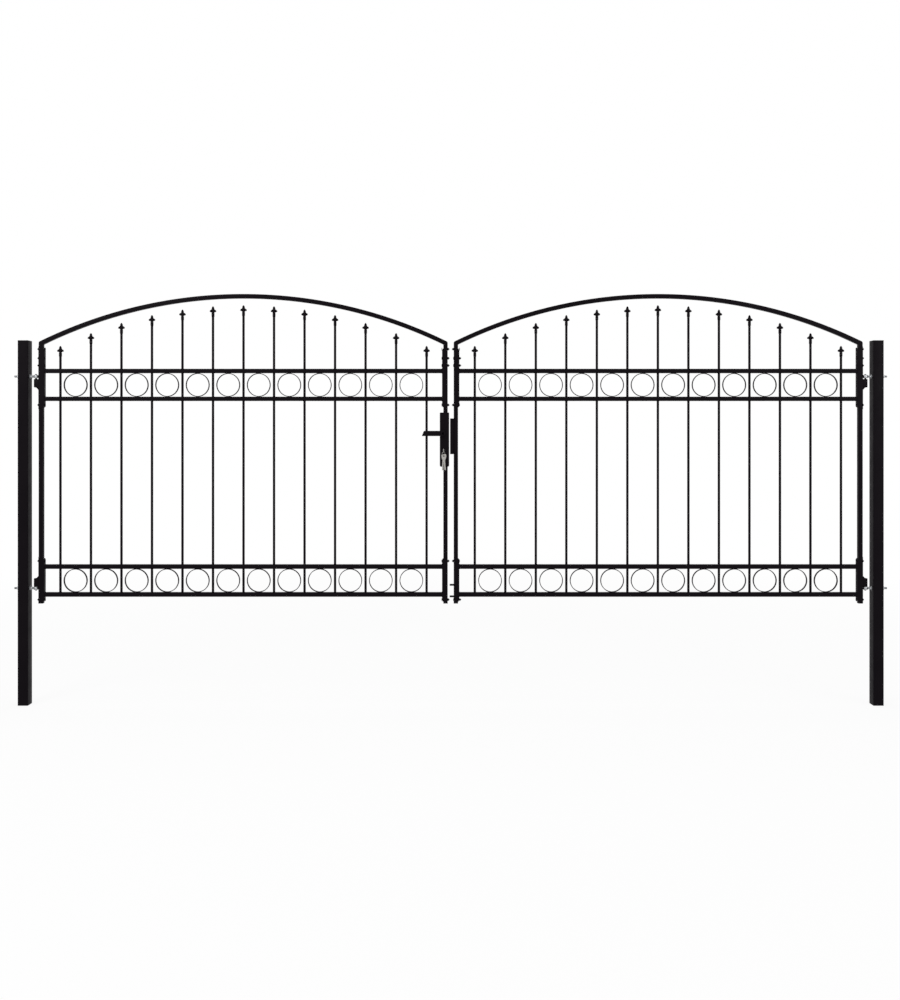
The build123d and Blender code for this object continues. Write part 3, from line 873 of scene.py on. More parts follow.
def weld(bm, start, end, radius, sides_round=8):
    """Rippled bead from one point to another."""
    start, end = Vector(start), Vector(end)
    run = end - start
    direction = run.normalized()
    across = direction.orthogonal().normalized()
    upward = direction.cross(across)
    stations = max(6, round(run.length / bead_step))
    loops = []
    for i in range(stations + 1):
        share = i / stations
        place = start + share * run
        taper = min(1, bead_end_slope * min(share, 1 - share) + bead_end_share)
        ripple = 1 + ripple_share * math.sin(2 * math.pi * share * run.length / bead_ripple)
        swell = radius * taper * (ripple + hand_share * noise.noise(place * hand_scale))
        loops.append([place + swell * (math.cos(a) * across + math.sin(a) * upward)
                      for a in full_turn(sides_round)])
    loft(bm, loops)


print("beads ripple every", bead_ripple / mm, "mm")

# %% [markdown]
# Rails are welded to the channels' webs on all four sides, and each ring has a short tack on its
# front to the rail above and below it. Where a bar leaves a rail, a small collar of weld closes the
# hole. The collar is turned, as a straight bead can't follow so small a circle.

# %% Welds of rails, rings and bars
rail_bead = 2.2 * mm
tack_bead = 1.6 * mm
collar_radius = 9.5 * mm
collar_height = 1.4 * mm
collar_bed = 0.2 * mm
collar_shoulder_height = 0.3 * collar_height
collar_shoulder_radius = 0.9 * collar_radius
tack_reach = 6 * mm
for side in sides:
    bm = bmesh.new()
    rail_low, rail_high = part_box(side + "_upper_rails")
    half = rail_side / 2
    for height in rail_heights[side]:
        for x in (rail_low.x, rail_high.x):
            for s in (-1, 1):
                weld(bm, (x, s * half, height - half), (x, s * half, height + half), rail_bead)
                weld(bm, (x, -half, height + s * half), (x, half, height + s * half), rail_bead)
        for offset in bar_offsets:
            for s in (-1, 1):
                if s < 0 and height == min(rail_heights[side]):
                    continue
                origin = (leaf_middle[side] + offset, 0, height + s * half)
                collar = [(-s * collar_bed, collar_radius),
                          (s * collar_shoulder_height, collar_shoulder_radius),
                          (s * collar_height, bar_radius)]
                turned(bm, origin, "z", collar, steps=20)
    for pair in ("lower", "upper"):
        height, radius = ring_rows[side + "_" + pair + "_rings"]
        for place in ring_places:
            for s in (-1, 1):
                x, y, z = leaf_middle[side] + place, -ring_depth / 2, height + s * radius
                weld(bm, (x - tack_reach, y, z), (x + tack_reach, y, z), tack_bead)
    add_piece(side + "_rail_welds", bm, side + "_leaf", "black_coat", crease=round_crease)
print("welds made")


# %% [markdown]
# Bolts clamp each channel to its stile: a carriage bolt runs across through both, with a domed head
# on one side and a nut on the other. A nut is a hexagon whose corners are cut by a cone, which leaves
# the curved edges that make it look like a nut. So its outline is taken at many angles, and near the
# faces it is capped by the cone's radius there. The stations below are shares of the nut's thickness,
# each with a share of the corner's radius outside, or of the bore's radius inside.

# %% Nuts, threads and domed heads
nut_outside = [(0, 0.86), (0.06, 0.93), (0.14, 1), (0.86, 1), (0.94, 0.93), (1, 0.86)]
nut_inside = [(1, 1.12), (0.94, 1), (0.06, 1), (0, 1.12)]
groove_share = 0.55
dome_turns = (0, 18, 36, 54, 72, 86)
dome_rim = 0.16
dome_foot = 0.97


def hexagon(flats, angle):
    """Distance from the middle of a hexagon to its edge, in a direction."""
    return flats / 2 / math.cos((angle + math.pi / 6) % (math.pi / 3) - math.pi / 6)


def nut(bm, origin, axis, direction, flats, thickness, bore, steps=48):
    """Hexagon nut that stands on a face and grows along +axis or -axis."""
    angles = full_turn(steps)
    corner = flats / math.sqrt(3)
    start, u0, v0 = split(origin, axis)

    def loop(share, radii):
        place = start + direction * share * thickness
        return [along(axis, place, u0 + r * math.cos(a), v0 + r * math.sin(a))
                for r, a in zip(radii, angles)]

    loops = [loop(share, [min(hexagon(flats, a), cone * corner) for a in angles])
             for share, cone in nut_outside]
    loops += [loop(share, [width * bore] * steps) for share, width in nut_inside]
    loft(bm, loops, closed=True)


def thread(bm, origin, axis, direction, length, radius, pitch, steps=20, per_turn=6):
    """Threaded rod end with a chamfered tip: the radius follows a helix of one groove a pitch."""
    depth = groove_share * pitch
    start, u0, v0 = split(origin, axis)
    count = max(4, round(length / pitch * per_turn))
    loops = []
    for i in range(count + 1):
        distance = length * i / count
        tip = max(0.0, distance - (length - pitch))
        loop = []
        for k, angle in enumerate(full_turn(steps)):
            phase = (distance / pitch - k / steps) % 1
            r = min(radius - depth * abs(2 * phase - 1), radius - tip)
            loop.append(along(axis, start + direction * distance,
                              u0 + r * math.cos(angle), v0 + r * math.sin(angle)))
        loops.append(loop)
    loft(bm, loops)


def domed_head(bm, origin, axis, direction, diameter, height):
    """Low dome of a carriage bolt: a short rim that stands on a face, and a round top."""
    profile = [(0, diameter / 2 * dome_foot)]
    for turn in dome_turns:
        rise = dome_rim + (1 - dome_rim) * math.sin(math.radians(turn))
        profile.append((direction * height * rise, diameter / 2 * math.cos(math.radians(turn))))
    turned(bm, origin, axis, profile)


print("corner over flat of a nut", round(hexagon(1, math.pi / 6) / hexagon(1, 0), 3))

# %% [markdown]
# Six bolts hold each stile: four in the upper channel, with the top one just under the arch, and two
# in the lower one. On the hinge stiles the nuts point out towards the post. On the meeting stiles
# they point right on the left leaf and left on the right one, into the gap between the leaves. Three
# bolts of the right meeting stile, the second, the third and the lowest, are turned round.

# %% Channel bolts
bolt_heights = [2061 * mm, 2008 * mm, 1966 * mm, 1737 * mm, 832 * mm, 608 * mm]
turned_round = [2008 * mm, 1966 * mm, 608 * mm]
bolt_radius = 4 * mm
bolt_pitch = 1.25 * mm
bolt_flats = 13 * mm
bolt_nut = 6.5 * mm
bolt_end = 4 * mm
dome_diameter = 19 * mm
dome_height = 3.4 * mm
for side, sign in sides.items():
    bm = bmesh.new()
    for stile, nut_side in (("hinge", sign), ("meeting", -sign)):
        low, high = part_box(side + "_" + stile + "_sleeves")
        for height in bolt_heights:
            way = nut_side
            if stile == "meeting" and side == "right" and height in turned_round:
                way = -nut_side
            nut_x, head_x = (high.x, low.x) if way > 0 else (low.x, high.x)
            nut(bm, (nut_x, 0, height), "x", way, bolt_flats, bolt_nut, bolt_radius)
            thread(bm, (nut_x, 0, height), "x", way, bolt_nut + bolt_end, bolt_radius, bolt_pitch)
            domed_head(bm, (head_x, 0, height), "x", -way, dome_diameter, dome_height)
    add_piece(side + "_channel_bolts", bm, side + "_leaf", "black_coat")
print("bolts", 4 * len(bolt_heights))


# %% [markdown]
# Each leaf hangs on two galvanised eye-bolts, which pass right through the post. A nut and a washer
# on either side of the post set how far the eye stands out, so that the gate can be adjusted. The eye
# is forged from the rod: a short upright ring with round shoulders, and a neck that swells into it.

# %% Eye-bolts
eye_radius = 13 * mm
eye_height = 18 * mm
eye_bore = 5.05 * mm
eye_shoulder = 3 * mm
rod_radius = 6 * mm
rod_pitch = 1.75 * mm
rod_flats = 19 * mm
rod_nut = 10 * mm
washer_radius = 12 * mm
washer_thickness = 2.5 * mm
washer_edge = 0.4 * mm
bore_lip = 0.6 * mm
eye_neck = [(8 * mm, 7.4 * mm), (13 * mm, 7.2 * mm), (15.5 * mm, rod_radius)]
neck_end = eye_neck[-1][0]


def forged_eye(bm, centre, steps=40):
    """Upright ring about Z with rounded shoulders and a slightly opened bore."""
    half = eye_height / 2
    shoulder = arc((eye_radius - eye_shoulder, half - eye_shoulder), eye_shoulder, 0, 90, 4)
    outer = [(r, -z) for r, z in reversed(shoulder)] + shoulder
    bore = [(eye_bore + bore_lip, half), (eye_bore, half - bore_lip),
            (eye_bore, bore_lip - half), (eye_bore + bore_lip, -half)]
    loops = []
    for r, z in outer + bore:
        loops.append([Vector(centre) + Vector((r * math.cos(a), r * math.sin(a), z))
                      for a in full_turn(steps)])
    loft(bm, loops, closed=True)


def washer(bm, origin, direction, steps=36):
    """Flat ring on a face of the post, with its edge just broken."""
    face = origin[0] + direction * washer_thickness
    loops = []
    for x, r in ((origin[0], washer_radius), (face - direction * washer_edge, washer_radius),
                 (face, washer_radius - washer_edge), (face, rod_radius), (origin[0], rod_radius)):
        loops.append([Vector((x, r * math.cos(a), origin[2] + r * math.sin(a)))
                      for a in full_turn(steps)])
    loft(bm, loops, closed=True)


for side, sign in sides.items():
    low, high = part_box(side + "_eyebolts")
    post_low, post_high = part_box(side + "_post")
    inner_face = post_high.x if sign < 0 else post_low.x
    outer_face = post_low.x if sign < 0 else post_high.x
    axis_x = (high.x if sign < 0 else low.x) + sign * eye_radius
    rod_end = low.x if sign < 0 else high.x
    bm = bmesh.new()
    for eye_z in (low.z + eye_height / 2, high.z - eye_height / 2):
        forged_eye(bm, (axis_x, 0, eye_z))
        turned(bm, (axis_x, 0, eye_z), "x", [(sign * distance, r) for distance, r in eye_neck])
        start_x = axis_x + sign * neck_end
        thread(bm, (start_x, 0, eye_z), "x", sign, abs(rod_end - start_x), rod_radius, rod_pitch)
        for face, outward in ((inner_face, -sign), (outer_face, sign)):
            washer(bm, (face, 0, eye_z), outward)
            nut_x = face + outward * washer_thickness
            nut(bm, (nut_x, 0, eye_z), "x", outward, rod_flats, rod_nut, rod_radius)
    add_piece(side + "_eyebolt_sets", bm, "posts", "galvanised", [side + "_eyebolts"])
    print(side, "hinge axis at X", round(axis_x, 4))

# %% [markdown]
# Where a construction solid already has the right form, such as a hinge block, only its edges are too
# sharp. A copy of its mesh is welded, its flat faces are merged, and a bevel rounds the edges, as
# casting or tumbling does. The node itself stays as it is and is stood for by the softened copy.

# %% Softened copies
same_point = 0.01 * mm
same_plane = 1


def softened(bm, node, radius, steps=3, least_angle=28):
    """Add a copy of a construction node to the bmesh, with its edges rounded over."""
    copy = bmesh.new()
    copy.from_mesh(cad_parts[node].data)
    bmesh.ops.remove_doubles(copy, verts=copy.verts, dist=same_point)
    bmesh.ops.dissolve_limit(copy, angle_limit=math.radians(same_plane), verts=copy.verts,
                             edges=copy.edges)
    sharp = [e for e in copy.edges if e.is_manifold and e.calc_face_angle() > math.radians(least_angle)]
    bmesh.ops.bevel(copy, geom=sharp, offset=radius, offset_type="OFFSET", segments=steps,
                    profile=0.5, affect="EDGES", clamp_overlap=True)
    mesh = bpy.data.meshes.new("softened")
    copy.to_mesh(mesh)
    copy.free()
    bm.from_mesh(mesh)
    bpy.data.meshes.remove(mesh)


print("points closer than", same_point / mm, "mm are one")

# %% [markdown]
# A hinge block is welded to the stile beside each eye, and its pin stands in the eye: upwards from
# the upper block and downwards from the lower one, so that the leaf can't be lifted off. Beads run
# down both edges of the block where it meets the stile.

# %% Hinge blocks
block_edge = 1.2 * mm
block_bead = 2 * mm
block_length = 65 * mm
block_bead_inset = 1 * mm
block_bead_end = 2 * mm
block_gaps = {"upper": 6 * mm, "lower": 0.3 * mm}
for side, sign in sides.items():
    node = side + "_hinge_brackets"
    stile_low, stile_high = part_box(side + "_hinge_stile")
    eye_low, eye_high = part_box(side + "_eyebolts")
    stile_x = stile_low.x if sign < 0 else stile_high.x
    bm = bmesh.new()
    softened(bm, node, block_edge)
    upper_top = eye_high.z - eye_height - block_gaps["upper"]
    lower_foot = eye_low.z + eye_height + block_gaps["lower"]
    bead_y = eye_radius - block_bead_inset
    spans = [(upper_top - block_length, upper_top - block_bead_end),
             (lower_foot + block_bead_end, lower_foot + block_length)]
    for y in (-bead_y, bead_y):
        for foot, top in spans:
            weld(bm, (stile_x, y, foot), (stile_x, y, top), block_bead)
    add_piece(side + "_hinge_blocks", bm, side + "_leaf", "black_coat", [node], crease=cast_crease)
print("hinge blocks made")


# %% [markdown]
# The lock is a flat sheet case set into the left leaf's meeting stile, with larger corners at its
# foot than at its top. It is a plate with rolled-over edges, like the caps, but upright: its outline
# is drawn in X and Z and carried through the thickness along Y. Beads join it to the stile.

# %% Lock case
case_edge = 2 * mm
case_top_corner = 4 * mm
case_foot_corner = 9 * mm
case_bead = 2 * mm
case_bead_inset = 1 * mm


def upright_outline(low, high, corner, foot_corner):
    """Outline function for an upright plate between two corners of a box, in X and Z."""
    middle_x, middle_z = (low.x + high.x) / 2, (low.z + high.z) / 2

    def at(inset):
        outline = rounded_rectangle(high.x - low.x - 2 * inset, high.z - low.z - 2 * inset,
                                    corner - inset, foot_corner - inset)
        return [(middle_x + u, middle_z + v) for u, v in outline]
    return at


stile_low, stile_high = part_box("left_meeting_stile")
bm = bmesh.new()
soft_plate(bm, upright_outline(lock_low, lock_high, case_top_corner, case_foot_corner),
           lock_low.y, lock_high.y, case_edge, axis="y")
for z in (lock_low.z, lock_high.z):
    for y in (stile_low.y, stile_high.y):
        weld(bm, (stile_low.x + case_bead_inset, y, z), (stile_high.x - case_bead_inset, y, z),
             case_bead)
add_piece("lock_housing", bm, "left_leaf", "black_coat", ["lock_case"], crease=cast_crease)
print("lock case", [round(v, 3) for v in lock_high - lock_low])


# %% [markdown]
# The cylinder is a profile cylinder: a round barrel over a narrow neck with a round foot. Its rotor is
# a disc with a keyway, which is a real recess here: the disc's edge and the keyway's edge are matched
# point for point by their direction from the middle, so one ring of faces joins them.

# %% Lock cylinder
barrel_diameter = 17 * mm
barrel_neck = 10 * mm
barrel_edge = 0.8 * mm
rotor_radius = 6.4 * mm
rotor_out = 0.5 * mm
keyway_width = 2.8 * mm
keyway_height = 9 * mm
keyway_corner = 0.8 * mm
keyway_depth = 8 * mm


def barrel_outline(centre, foot_z):
    """Outline function of the profile cylinder, seen from the front."""
    def at(inset):
        radius, neck = barrel_diameter / 2 - inset, barrel_neck / 2 - inset
        meet = math.degrees(math.acos(neck / radius))
        foot = foot_z - centre[1] + barrel_neck / 2
        points = arc((0, 0), radius, -meet, 180 + meet, 20) + arc((0, foot), neck, 180, 360, 10)
        return [(centre[0] + x, centre[1] + z) for x, z in points]
    return at


def rotor(bm, centre, face_y, direction):
    """Disc with a keyway, on one face of the cylinder."""
    slot = rounded_rectangle(keyway_width, keyway_height, keyway_corner, steps=7)
    turns = [math.atan2(v, u) for u, v in slot]
    disc = [(rotor_radius * math.cos(a), rotor_radius * math.sin(a)) for a in turns]
    face = face_y + direction * rotor_out
    stations = [(disc, face_y - direction * rotor_out), (disc, face), (slot, face),
                (slot, face - direction * keyway_depth)]
    loft(bm, [[Vector((centre[0] + u, y, centre[1] + v)) for u, v in outline]
              for outline, y in stations])


low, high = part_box("lock_cylinder")
barrel_centre = ((low.x + high.x) / 2, high.z - barrel_diameter / 2)
bm = bmesh.new()
soft_plate(bm, barrel_outline(barrel_centre, low.z), low.y + rotor_out, high.y - rotor_out,
           barrel_edge, axis="y")
for face_y, direction in ((low.y + rotor_out, -1), (high.y - rotor_out, 1)):
    rotor(bm, barrel_centre, face_y, direction)
add_piece("profile_cylinder", bm, "left_leaf", "black_nickel", ["lock_cylinder"], crease=cast_crease)
print("cylinder centre", [round(v, 4) for v in barrel_centre])


# %% [markdown]
# A lever handle stands on each face of the lock, on one square spindle. It is a flat bar whose end is
# cut at a slant, on a turned neck. The bar is a rounded section carried along X. Towards its end the
# section leans more and more, until it lies along the slant, and the last steps draw it in.

# %% Levers
lever_thickness = 12 * mm
lever_height = 30 * mm
lever_slant = 12 * mm
lever_edge = 3.2 * mm
lever_least_corner = 0.4 * mm
lever_straight = 20 * mm
neck_radius = 9 * mm
hub_radius = 10.6 * mm
hub_behind = 1 * mm
hub_edge = 1.2 * mm
hub_shoulder = 1.6 * mm
hub_lip = 0.4 * mm


def lever_arm(bm, hub_x, tip_x, middle_y, middle_z):
    """Bar of the handle, from its hub to the slanted end."""
    roll = [(lever_edge * (1 - math.sin(a)), lever_edge * (1 - math.cos(a)))
            for a in (math.pi / 2 * i / 4 for i in range(5))]
    stations = [(hub_x, 0, 0), (hub_x - lever_straight, 0, 0)]
    stations += [(tip_x + back, 1, inset) for back, inset in roll]
    loops = []
    for x, lean, inset in stations:
        section = rounded_rectangle(lever_thickness - 2 * inset, lever_height - 2 * inset,
                                    max(lever_edge - inset, lever_least_corner), steps=5)
        slant = lean * lever_slant
        loops.append([Vector((x + slant * (v / lever_height + 0.5), middle_y + u, middle_z + v))
                      for u, v in section])
    loft(bm, loops)


for name, node, face_side in (("front_handle", "front_lever", -1), ("back_handle", "back_lever", 1)):
    low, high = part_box(node)
    far_y, near_y = (low.y, high.y) if face_side < 0 else (high.y, low.y)
    hub_x, middle_z = high.x - lever_height / 2, (low.z + high.z) / 2
    bm = bmesh.new()
    lever_arm(bm, hub_x, low.x, far_y - face_side * lever_thickness / 2, middle_z)
    hub_back = far_y - face_side * (lever_thickness + hub_behind)
    reach = abs(hub_back - far_y)
    hub = [(0, hub_radius - hub_edge), (hub_edge, hub_radius), (reach - hub_shoulder, hub_radius),
           (reach - hub_lip, hub_radius - hub_edge), (reach, hub_radius - 2 * hub_edge)]
    hub = [(face_side * distance, r) for distance, r in hub]
    neck = [(0, neck_radius), (hub_back - near_y, neck_radius)]
    turned(bm, (hub_x, hub_back, middle_z), "y", hub, steps=40)
    turned(bm, (hub_x, near_y, middle_z), "y", neck, steps=40)
    add_piece(name, bm, "lever", "black_coat", [node], crease=cast_crease)
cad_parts["lever_spindle"].data.materials.clear()
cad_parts["lever_spindle"].data.materials.append(galvanised)
print("levers made")


# %% [markdown]
# Three keys of one design hang together here: one stands in the cylinder, and two spare ones hang
# from it on a split ring, fanned out one behind the other. They are stamped from sheet: a broad bow
# with a slot for the ring, shoulders that taper to the neck, and a blade with cuts along one edge. A
# curve in 2D mode fills an outline and leaves a second outline inside it open, and its bevel breaks
# the edges all round, so the plate needs no cutting. The outline is drawn once, about the middle of
# the bow, with the blade pointing down.

# %% Key outline
bow_half = 12 * mm
bow_corner = 5 * mm
bow_taper_from = -3 * mm
slot_width = 13 * mm
slot_height = 7 * mm
slot_corner = 3.4 * mm
slot_rise = 2.5 * mm
key_neck = 13 * mm
key_blade = 8.6 * mm
key_shoulder = 18 * mm
key_edge = 0.4 * mm
plate_same_point = 0.005 * mm
spare_blade = 62 * mm
stub_blade = 7 * mm
cut_foot = 1 * mm
cut_mouth = 2.4 * mm
key_cuts = [(9 * mm, 1.6 * mm), (15 * mm, 2.4 * mm), (21 * mm, 1.2 * mm),
            (27 * mm, 2.0 * mm), (33 * mm, 1.4 * mm), (39 * mm, 2.2 * mm)]


def key_outline(blade_length, cuts):
    """Outline of a key, anticlockwise from the right of its neck. A cut is a place and a depth."""
    half, neck, shoulder = key_blade / 2, key_neck / 2, -key_shoulder
    tip, tip_half = shoulder - blade_length, half / 3
    turn = bow_half - bow_corner
    outline = [(neck, shoulder), (bow_half, bow_taper_from)]
    outline += arc((turn, turn), bow_corner, 0, 90, 6) + arc((-turn, turn), bow_corner, 90, 180, 6)
    outline += [(-bow_half, bow_taper_from), (-neck, shoulder), (-half, shoulder), (-half, tip + half),
                (-tip_half, tip), (tip_half, tip), (half, tip + half)]
    for place, depth in reversed(cuts):
        z = shoulder - place
        outline += [(half, z - cut_mouth), (half - depth, z - cut_foot),
                    (half - depth, z + cut_foot), (half, z + cut_mouth)]
    return outline + [(half, shoulder)]


def stamped_key(bm, outline, thickness, placing):
    """Plate with the key's outline and the slot in its bow, its edges broken, put in place."""
    curve = bpy.data.curves.new("key_plate", "CURVE")
    curve.dimensions = "2D"
    curve.fill_mode = "BOTH"
    curve.extrude = thickness / 2 - key_edge
    curve.bevel_depth = key_edge
    curve.bevel_resolution = 2
    curve.offset = -key_edge
    slot = rounded_rectangle(slot_width, slot_height, slot_corner)
    slot = [(x, z + slot_rise) for x, z in reversed(slot)]
    for points in (outline, slot):
        spline = curve.splines.new("POLY")
        spline.points.add(len(points) - 1)
        for point, (x, z) in zip(spline.points, points):
            point.co = (x, z, 0, 1)
        spline.use_cyclic_u = True
    holder = bpy.data.objects.new("key_plate", curve)
    plate = bpy.data.meshes.new_from_object(holder)
    plate.transform(placing)
    bm.from_mesh(plate)
    bpy.data.meshes.remove(plate)
    bpy.data.objects.remove(holder)
    bpy.data.curves.remove(curve)
    bmesh.ops.remove_doubles(bm, verts=bm.verts, dist=plate_same_point)


print("points in a key's outline", len(key_outline(spare_blade, key_cuts)))

# %% [markdown]
# The key in the lock is turned so that its blade points into the gate and its bow stands upright,
# and only the part of its blade that stands in the keyway is made. The spare keys hang with the rim
# of their slots on the wire of the ring, each where the ring's circle passes it, and lean apart.

# %% Keys in place
wire_radius = 0.5 * mm
spare_step = 3 * mm
spare_lean = 4
key_low, key_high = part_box("lock_key")
ring_low, ring_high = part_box("key_ring")
ring_middle = (ring_low + ring_high) / 2
ring_radius = (ring_high.z - ring_low.z) / 2 - wire_radius
key_thickness = key_high.x - key_low.x
bow_middle = Vector(((key_low.x + key_high.x) / 2, key_low.y + bow_half, (key_low.z + key_high.z) / 2))
into_gate = Matrix(((0, 0, 1), (0, -1, 0), (1, 0, 0))).to_4x4()
bm = bmesh.new()
stamped_key(bm, key_outline(stub_blade, []), key_thickness, Matrix.Translation(bow_middle) @ into_gate)
add_piece("key_in_lock", bm, "left_leaf", "nickel", ["lock_key"], crease=cast_crease)

bm = bmesh.new()
upright = Matrix.Rotation(math.pi / 2, 4, "X")
hang = Matrix.Translation((0, wire_radius - slot_rise - slot_height / 2, 0))
for step, lean in ((0, -spare_lean), (spare_step, spare_lean)):
    below = math.sqrt(ring_radius ** 2 - 2 * step ** 2)
    wire = ring_middle + Vector((step, step, -below))
    tilt = Matrix.Rotation(math.radians(lean), 4, "Z")
    stamped_key(bm, key_outline(spare_blade, key_cuts), key_thickness,
                Matrix.Translation(wire) @ upright @ tilt @ hang)
add_piece("spare_keys", bm, "left_leaf", "nickel", ["hanging_key"], crease=cast_crease)
print("keys hang", round((bow_middle.z - ring_low.z) / mm, 1), "mm below the cylinder")

# %% [markdown]
# The ring is spring wire wound nearly twice round, which is a round section carried along a flat
# helix. It hangs half way between the planes of the keys.

# %% Split ring
ring_turns = 1.9
ring_points = 96
wire_sides = 10
plane_x = Vector((1, 1, 0)).normalized()
plane_normal = Vector((1, -1, 0)).normalized()
loops = []
for i in range(ring_points + 1):
    share = i / ring_points
    angle = 2 * math.pi * ring_turns * share
    radial = math.cos(angle) * plane_x + Vector((0, 0, math.sin(angle)))
    place = ring_middle + ring_radius * radial + (share - 0.5) * 2 * wire_radius * plane_normal
    loops.append([place + wire_radius * (math.cos(a) * radial + math.sin(a) * plane_normal)
                  for a in full_turn(wire_sides)])
bm = bmesh.new()
loft(bm, loops)
add_piece("split_ring", bm, "left_leaf", "nickel", ["key_ring"], crease=round_crease)
print("split ring", round(2 * (ring_radius + wire_radius) / mm, 1), "mm across")


# %% [markdown]
# The strike box on the right leaf takes the latch. Each of its two faces has two button-head screws,
# one near each end. A button head is a low dome with a hexagon socket: the dome's inner edge and the
# socket share their directions, like the rotor and its keyway. The dome is given as shares of the
# head's height, each with a share of its radius.

# %% Strike box and screws
strike_edge = 2 * mm
screw_radius = 5 * mm
screw_height = 2.6 * mm
screw_dome = [(0, 1), (0.25, 0.98), (0.6, 0.88), (0.88, 0.7), (1, 0.55)]
socket_flats = 4 * mm
socket_floor = 0.15
upper_screw_drop = 14 * mm
lower_screw_rise = 12.5 * mm


def button_screw(bm, centre, direction, steps=36):
    """Button-head screw on a face, pointing along -Y or +Y."""
    angles = full_turn(steps)
    socket = [hexagon(socket_flats, a) for a in angles]
    stations = [(height, [share * screw_radius] * steps) for height, share in screw_dome]
    stations += [(1, socket), (socket_floor, socket)]
    loops = []
    for height, radii in stations:
        y = centre[1] + direction * height * screw_height
        loops.append([Vector((centre[0] + r * math.cos(a), y, centre[2] + r * math.sin(a)))
                      for r, a in zip(radii, angles)])
    loft(bm, loops)


low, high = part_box("strike_box")
bm = bmesh.new()
softened(bm, "strike_box", strike_edge)
screw_x = (low.x + high.x) / 2
for z in (high.z - upper_screw_drop, low.z + lower_screw_rise):
    button_screw(bm, (screw_x, low.y, z), -1)
    button_screw(bm, (screw_x, high.y, z), 1)
add_piece("strike_housing", bm, "right_leaf", "black_coat", ["strike_box"], crease=cast_crease)
print("strike box", [round(v, 3) for v in high - low])

# %% [markdown]
# Two small bored plates at the foot of the right meeting stile guide a drop rod. Each is welded to
# the stile above and below.

# %% Guide lugs
low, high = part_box("guide_lugs")
lug_thickness = 7 * mm
lug_edge = 0.9 * mm
lug_bead = 1.6 * mm
lug_bead_inset = 3 * mm
bm = bmesh.new()
softened(bm, "guide_lugs", lug_edge, steps=2)
for z in (low.z, low.z + lug_thickness, high.z - lug_thickness, high.z):
    weld(bm, (high.x, low.y + lug_bead_inset, z), (high.x, high.y - lug_bead_inset, z), lug_bead)
add_piece("bored_lugs", bm, "right_leaf", "black_coat", ["guide_lugs"], crease=cast_crease)
print("lugs made")


# %% [markdown]
# The stage is one pale floor. The photograph is cut out on white, so the floor is nearly white too:
# for the camera and for mirrors most of its light is plain white, and the rest is the lit surface,
# which keeps a soft shadow at the feet of the posts. Far away it is all white, so no horizon shows.

# %% Floor
floor_half = 40.0
floor_drop = 0.5 * mm
floor_white = 0.9
shadow_share = 0.1
fade_start = 2.5
fade_end = 7.0

floor_mesh = bpy.data.meshes.new("floor")
bm = bmesh.new()
bmesh.ops.create_grid(bm, x_segments=1, y_segments=1, size=floor_half)
bm.to_mesh(floor_mesh)
bm.free()
floor = bpy.data.objects.new("floor", floor_mesh)
floor.location = (gate_middle, 0, cad_low.z - floor_drop)
bpy.context.scene.collection.objects.link(floor)
floor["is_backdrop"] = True

floor_paint = bpy.data.materials.new("floor_paint")
floor_paint.use_nodes = True
nodes, links = floor_paint.node_tree.nodes, floor_paint.node_tree.links
nodes.clear()


def either(nodes, links, first, second):
    """1 where either of two yes-or-no values is 1."""
    node = nodes.new("ShaderNodeMath")
    node.operation = "MAXIMUM"
    links.new(first, node.inputs[0])
    links.new(second, node.inputs[1])
    return node.outputs["Value"]


def seen_as_white(nodes, links):
    """1 for the rays of the camera, of mirrors and of glass, and 0 for the rays that light things."""
    path = nodes.new("ShaderNodeLightPath")
    looked_at = either(nodes, links, path.outputs["Is Camera Ray"], path.outputs["Is Glossy Ray"])
    return either(nodes, links, looked_at, path.outputs["Is Transmission Ray"])


paint = nodes.new("ShaderNodeBsdfDiffuse")
paint.inputs["Color"].default_value = (floor_white, floor_white, floor_white, 1)
glow = nodes.new("ShaderNodeEmission")
seen = seen_as_white(nodes, links)
where = nodes.new("ShaderNodeTexCoord")
distance = nodes.new("ShaderNodeVectorMath")
distance.operation = "LENGTH"
links.new(where.outputs["Object"], distance.inputs[0])
white_share = nodes.new("ShaderNodeMapRange")
white_share.inputs["From Min"].default_value = fade_start
white_share.inputs["From Max"].default_value = fade_end
white_share.inputs["To Min"].default_value = 1 - shadow_share
white_share.inputs["To Max"].default_value = 1.0
links.new(distance.outputs["Value"], white_share.inputs["Value"])
glow_share = nodes.new("ShaderNodeMath")
glow_share.operation = "MULTIPLY"
links.new(white_share.outputs["Result"], glow_share.inputs[0])
links.new(seen, glow_share.inputs[1])
blend = nodes.new("ShaderNodeMixShader")
links.new(glow_share.outputs["Value"], blend.inputs["Fac"])
links.new(paint.outputs["BSDF"], blend.inputs[1])
links.new(glow.outputs["Emission"], blend.inputs[2])
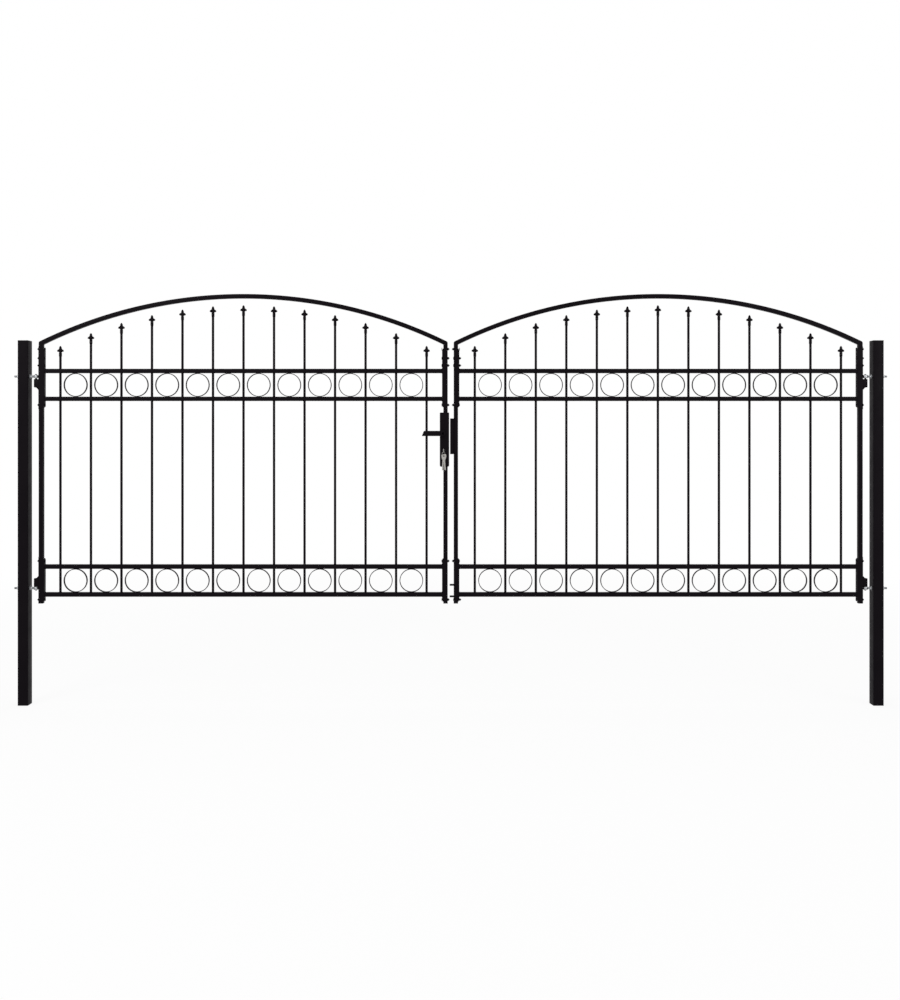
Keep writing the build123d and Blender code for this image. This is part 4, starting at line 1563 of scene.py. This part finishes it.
links.new(blend.outputs["Shader"], nodes.new("ShaderNodeOutputMaterial").inputs["Surface"])
floor_mesh.materials.append(floor_paint)
print("floor at Z", round(floor.location.z, 4))

# %% [markdown]
# The world is white to the eye and in reflections, and lights the scene at about half strength. The
# lamps make up the rest: a broad soft box at the upper left, a weaker one at the right, and one above.
# Together they light a surface that faces the camera at a level where its colour shows as written.

# %% World and lamps
world_light = 0.55
world_seen = 1.0
lamps = {
    "key_lamp": {"place": (-4.5, -5.0, 4.5), "size": 3.0, "power": 150},
    "fill_lamp": {"place": (5.0, -4.0, 3.0), "size": 3.0, "power": 70},
    "top_lamp": {"place": (0.0, 0.5, 6.0), "size": 4.0, "power": 90},
}

world = bpy.data.worlds.new("studio")
bpy.context.scene.world = world
world.use_nodes = True
nodes, links = world.node_tree.nodes, world.node_tree.links
background = nodes["Background"]
background.inputs["Color"].default_value = (1, 1, 1, 1)
strength = nodes.new("ShaderNodeMapRange")
strength.inputs["To Min"].default_value = world_light
strength.inputs["To Max"].default_value = world_seen
links.new(seen_as_white(nodes, links), strength.inputs["Value"])
links.new(strength.outputs["Result"], background.inputs["Strength"])


def soft_box(name, place, size, power):
    """Square area lamp that faces the middle of the gate. Its place is given from that middle in X."""
    data = bpy.data.lights.new(name, "AREA")
    data.size = size
    data.energy = power
    lamp = bpy.data.objects.new(name, data)
    lamp.location = (gate_middle + place[0], place[1], place[2])
    aim = Vector((gate_middle, 0, (cad_low.z + cad_high.z) / 2)) - lamp.location
    lamp.rotation_euler = aim.to_track_quat("-Z", "Y").to_euler()
    bpy.context.scene.collection.objects.link(lamp)


for name, lamp in lamps.items():
    soft_box(name, lamp["place"], lamp["size"], lamp["power"])
bpy.context.scene.view_settings.view_transform = "Standard"
print("lamps", len(bpy.data.lights))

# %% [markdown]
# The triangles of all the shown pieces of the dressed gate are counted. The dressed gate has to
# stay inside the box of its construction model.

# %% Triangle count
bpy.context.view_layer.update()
triangles = sum(len(p.vertices) - 2 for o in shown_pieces() for p in o.data.polygons)
print("triangles", triangles)
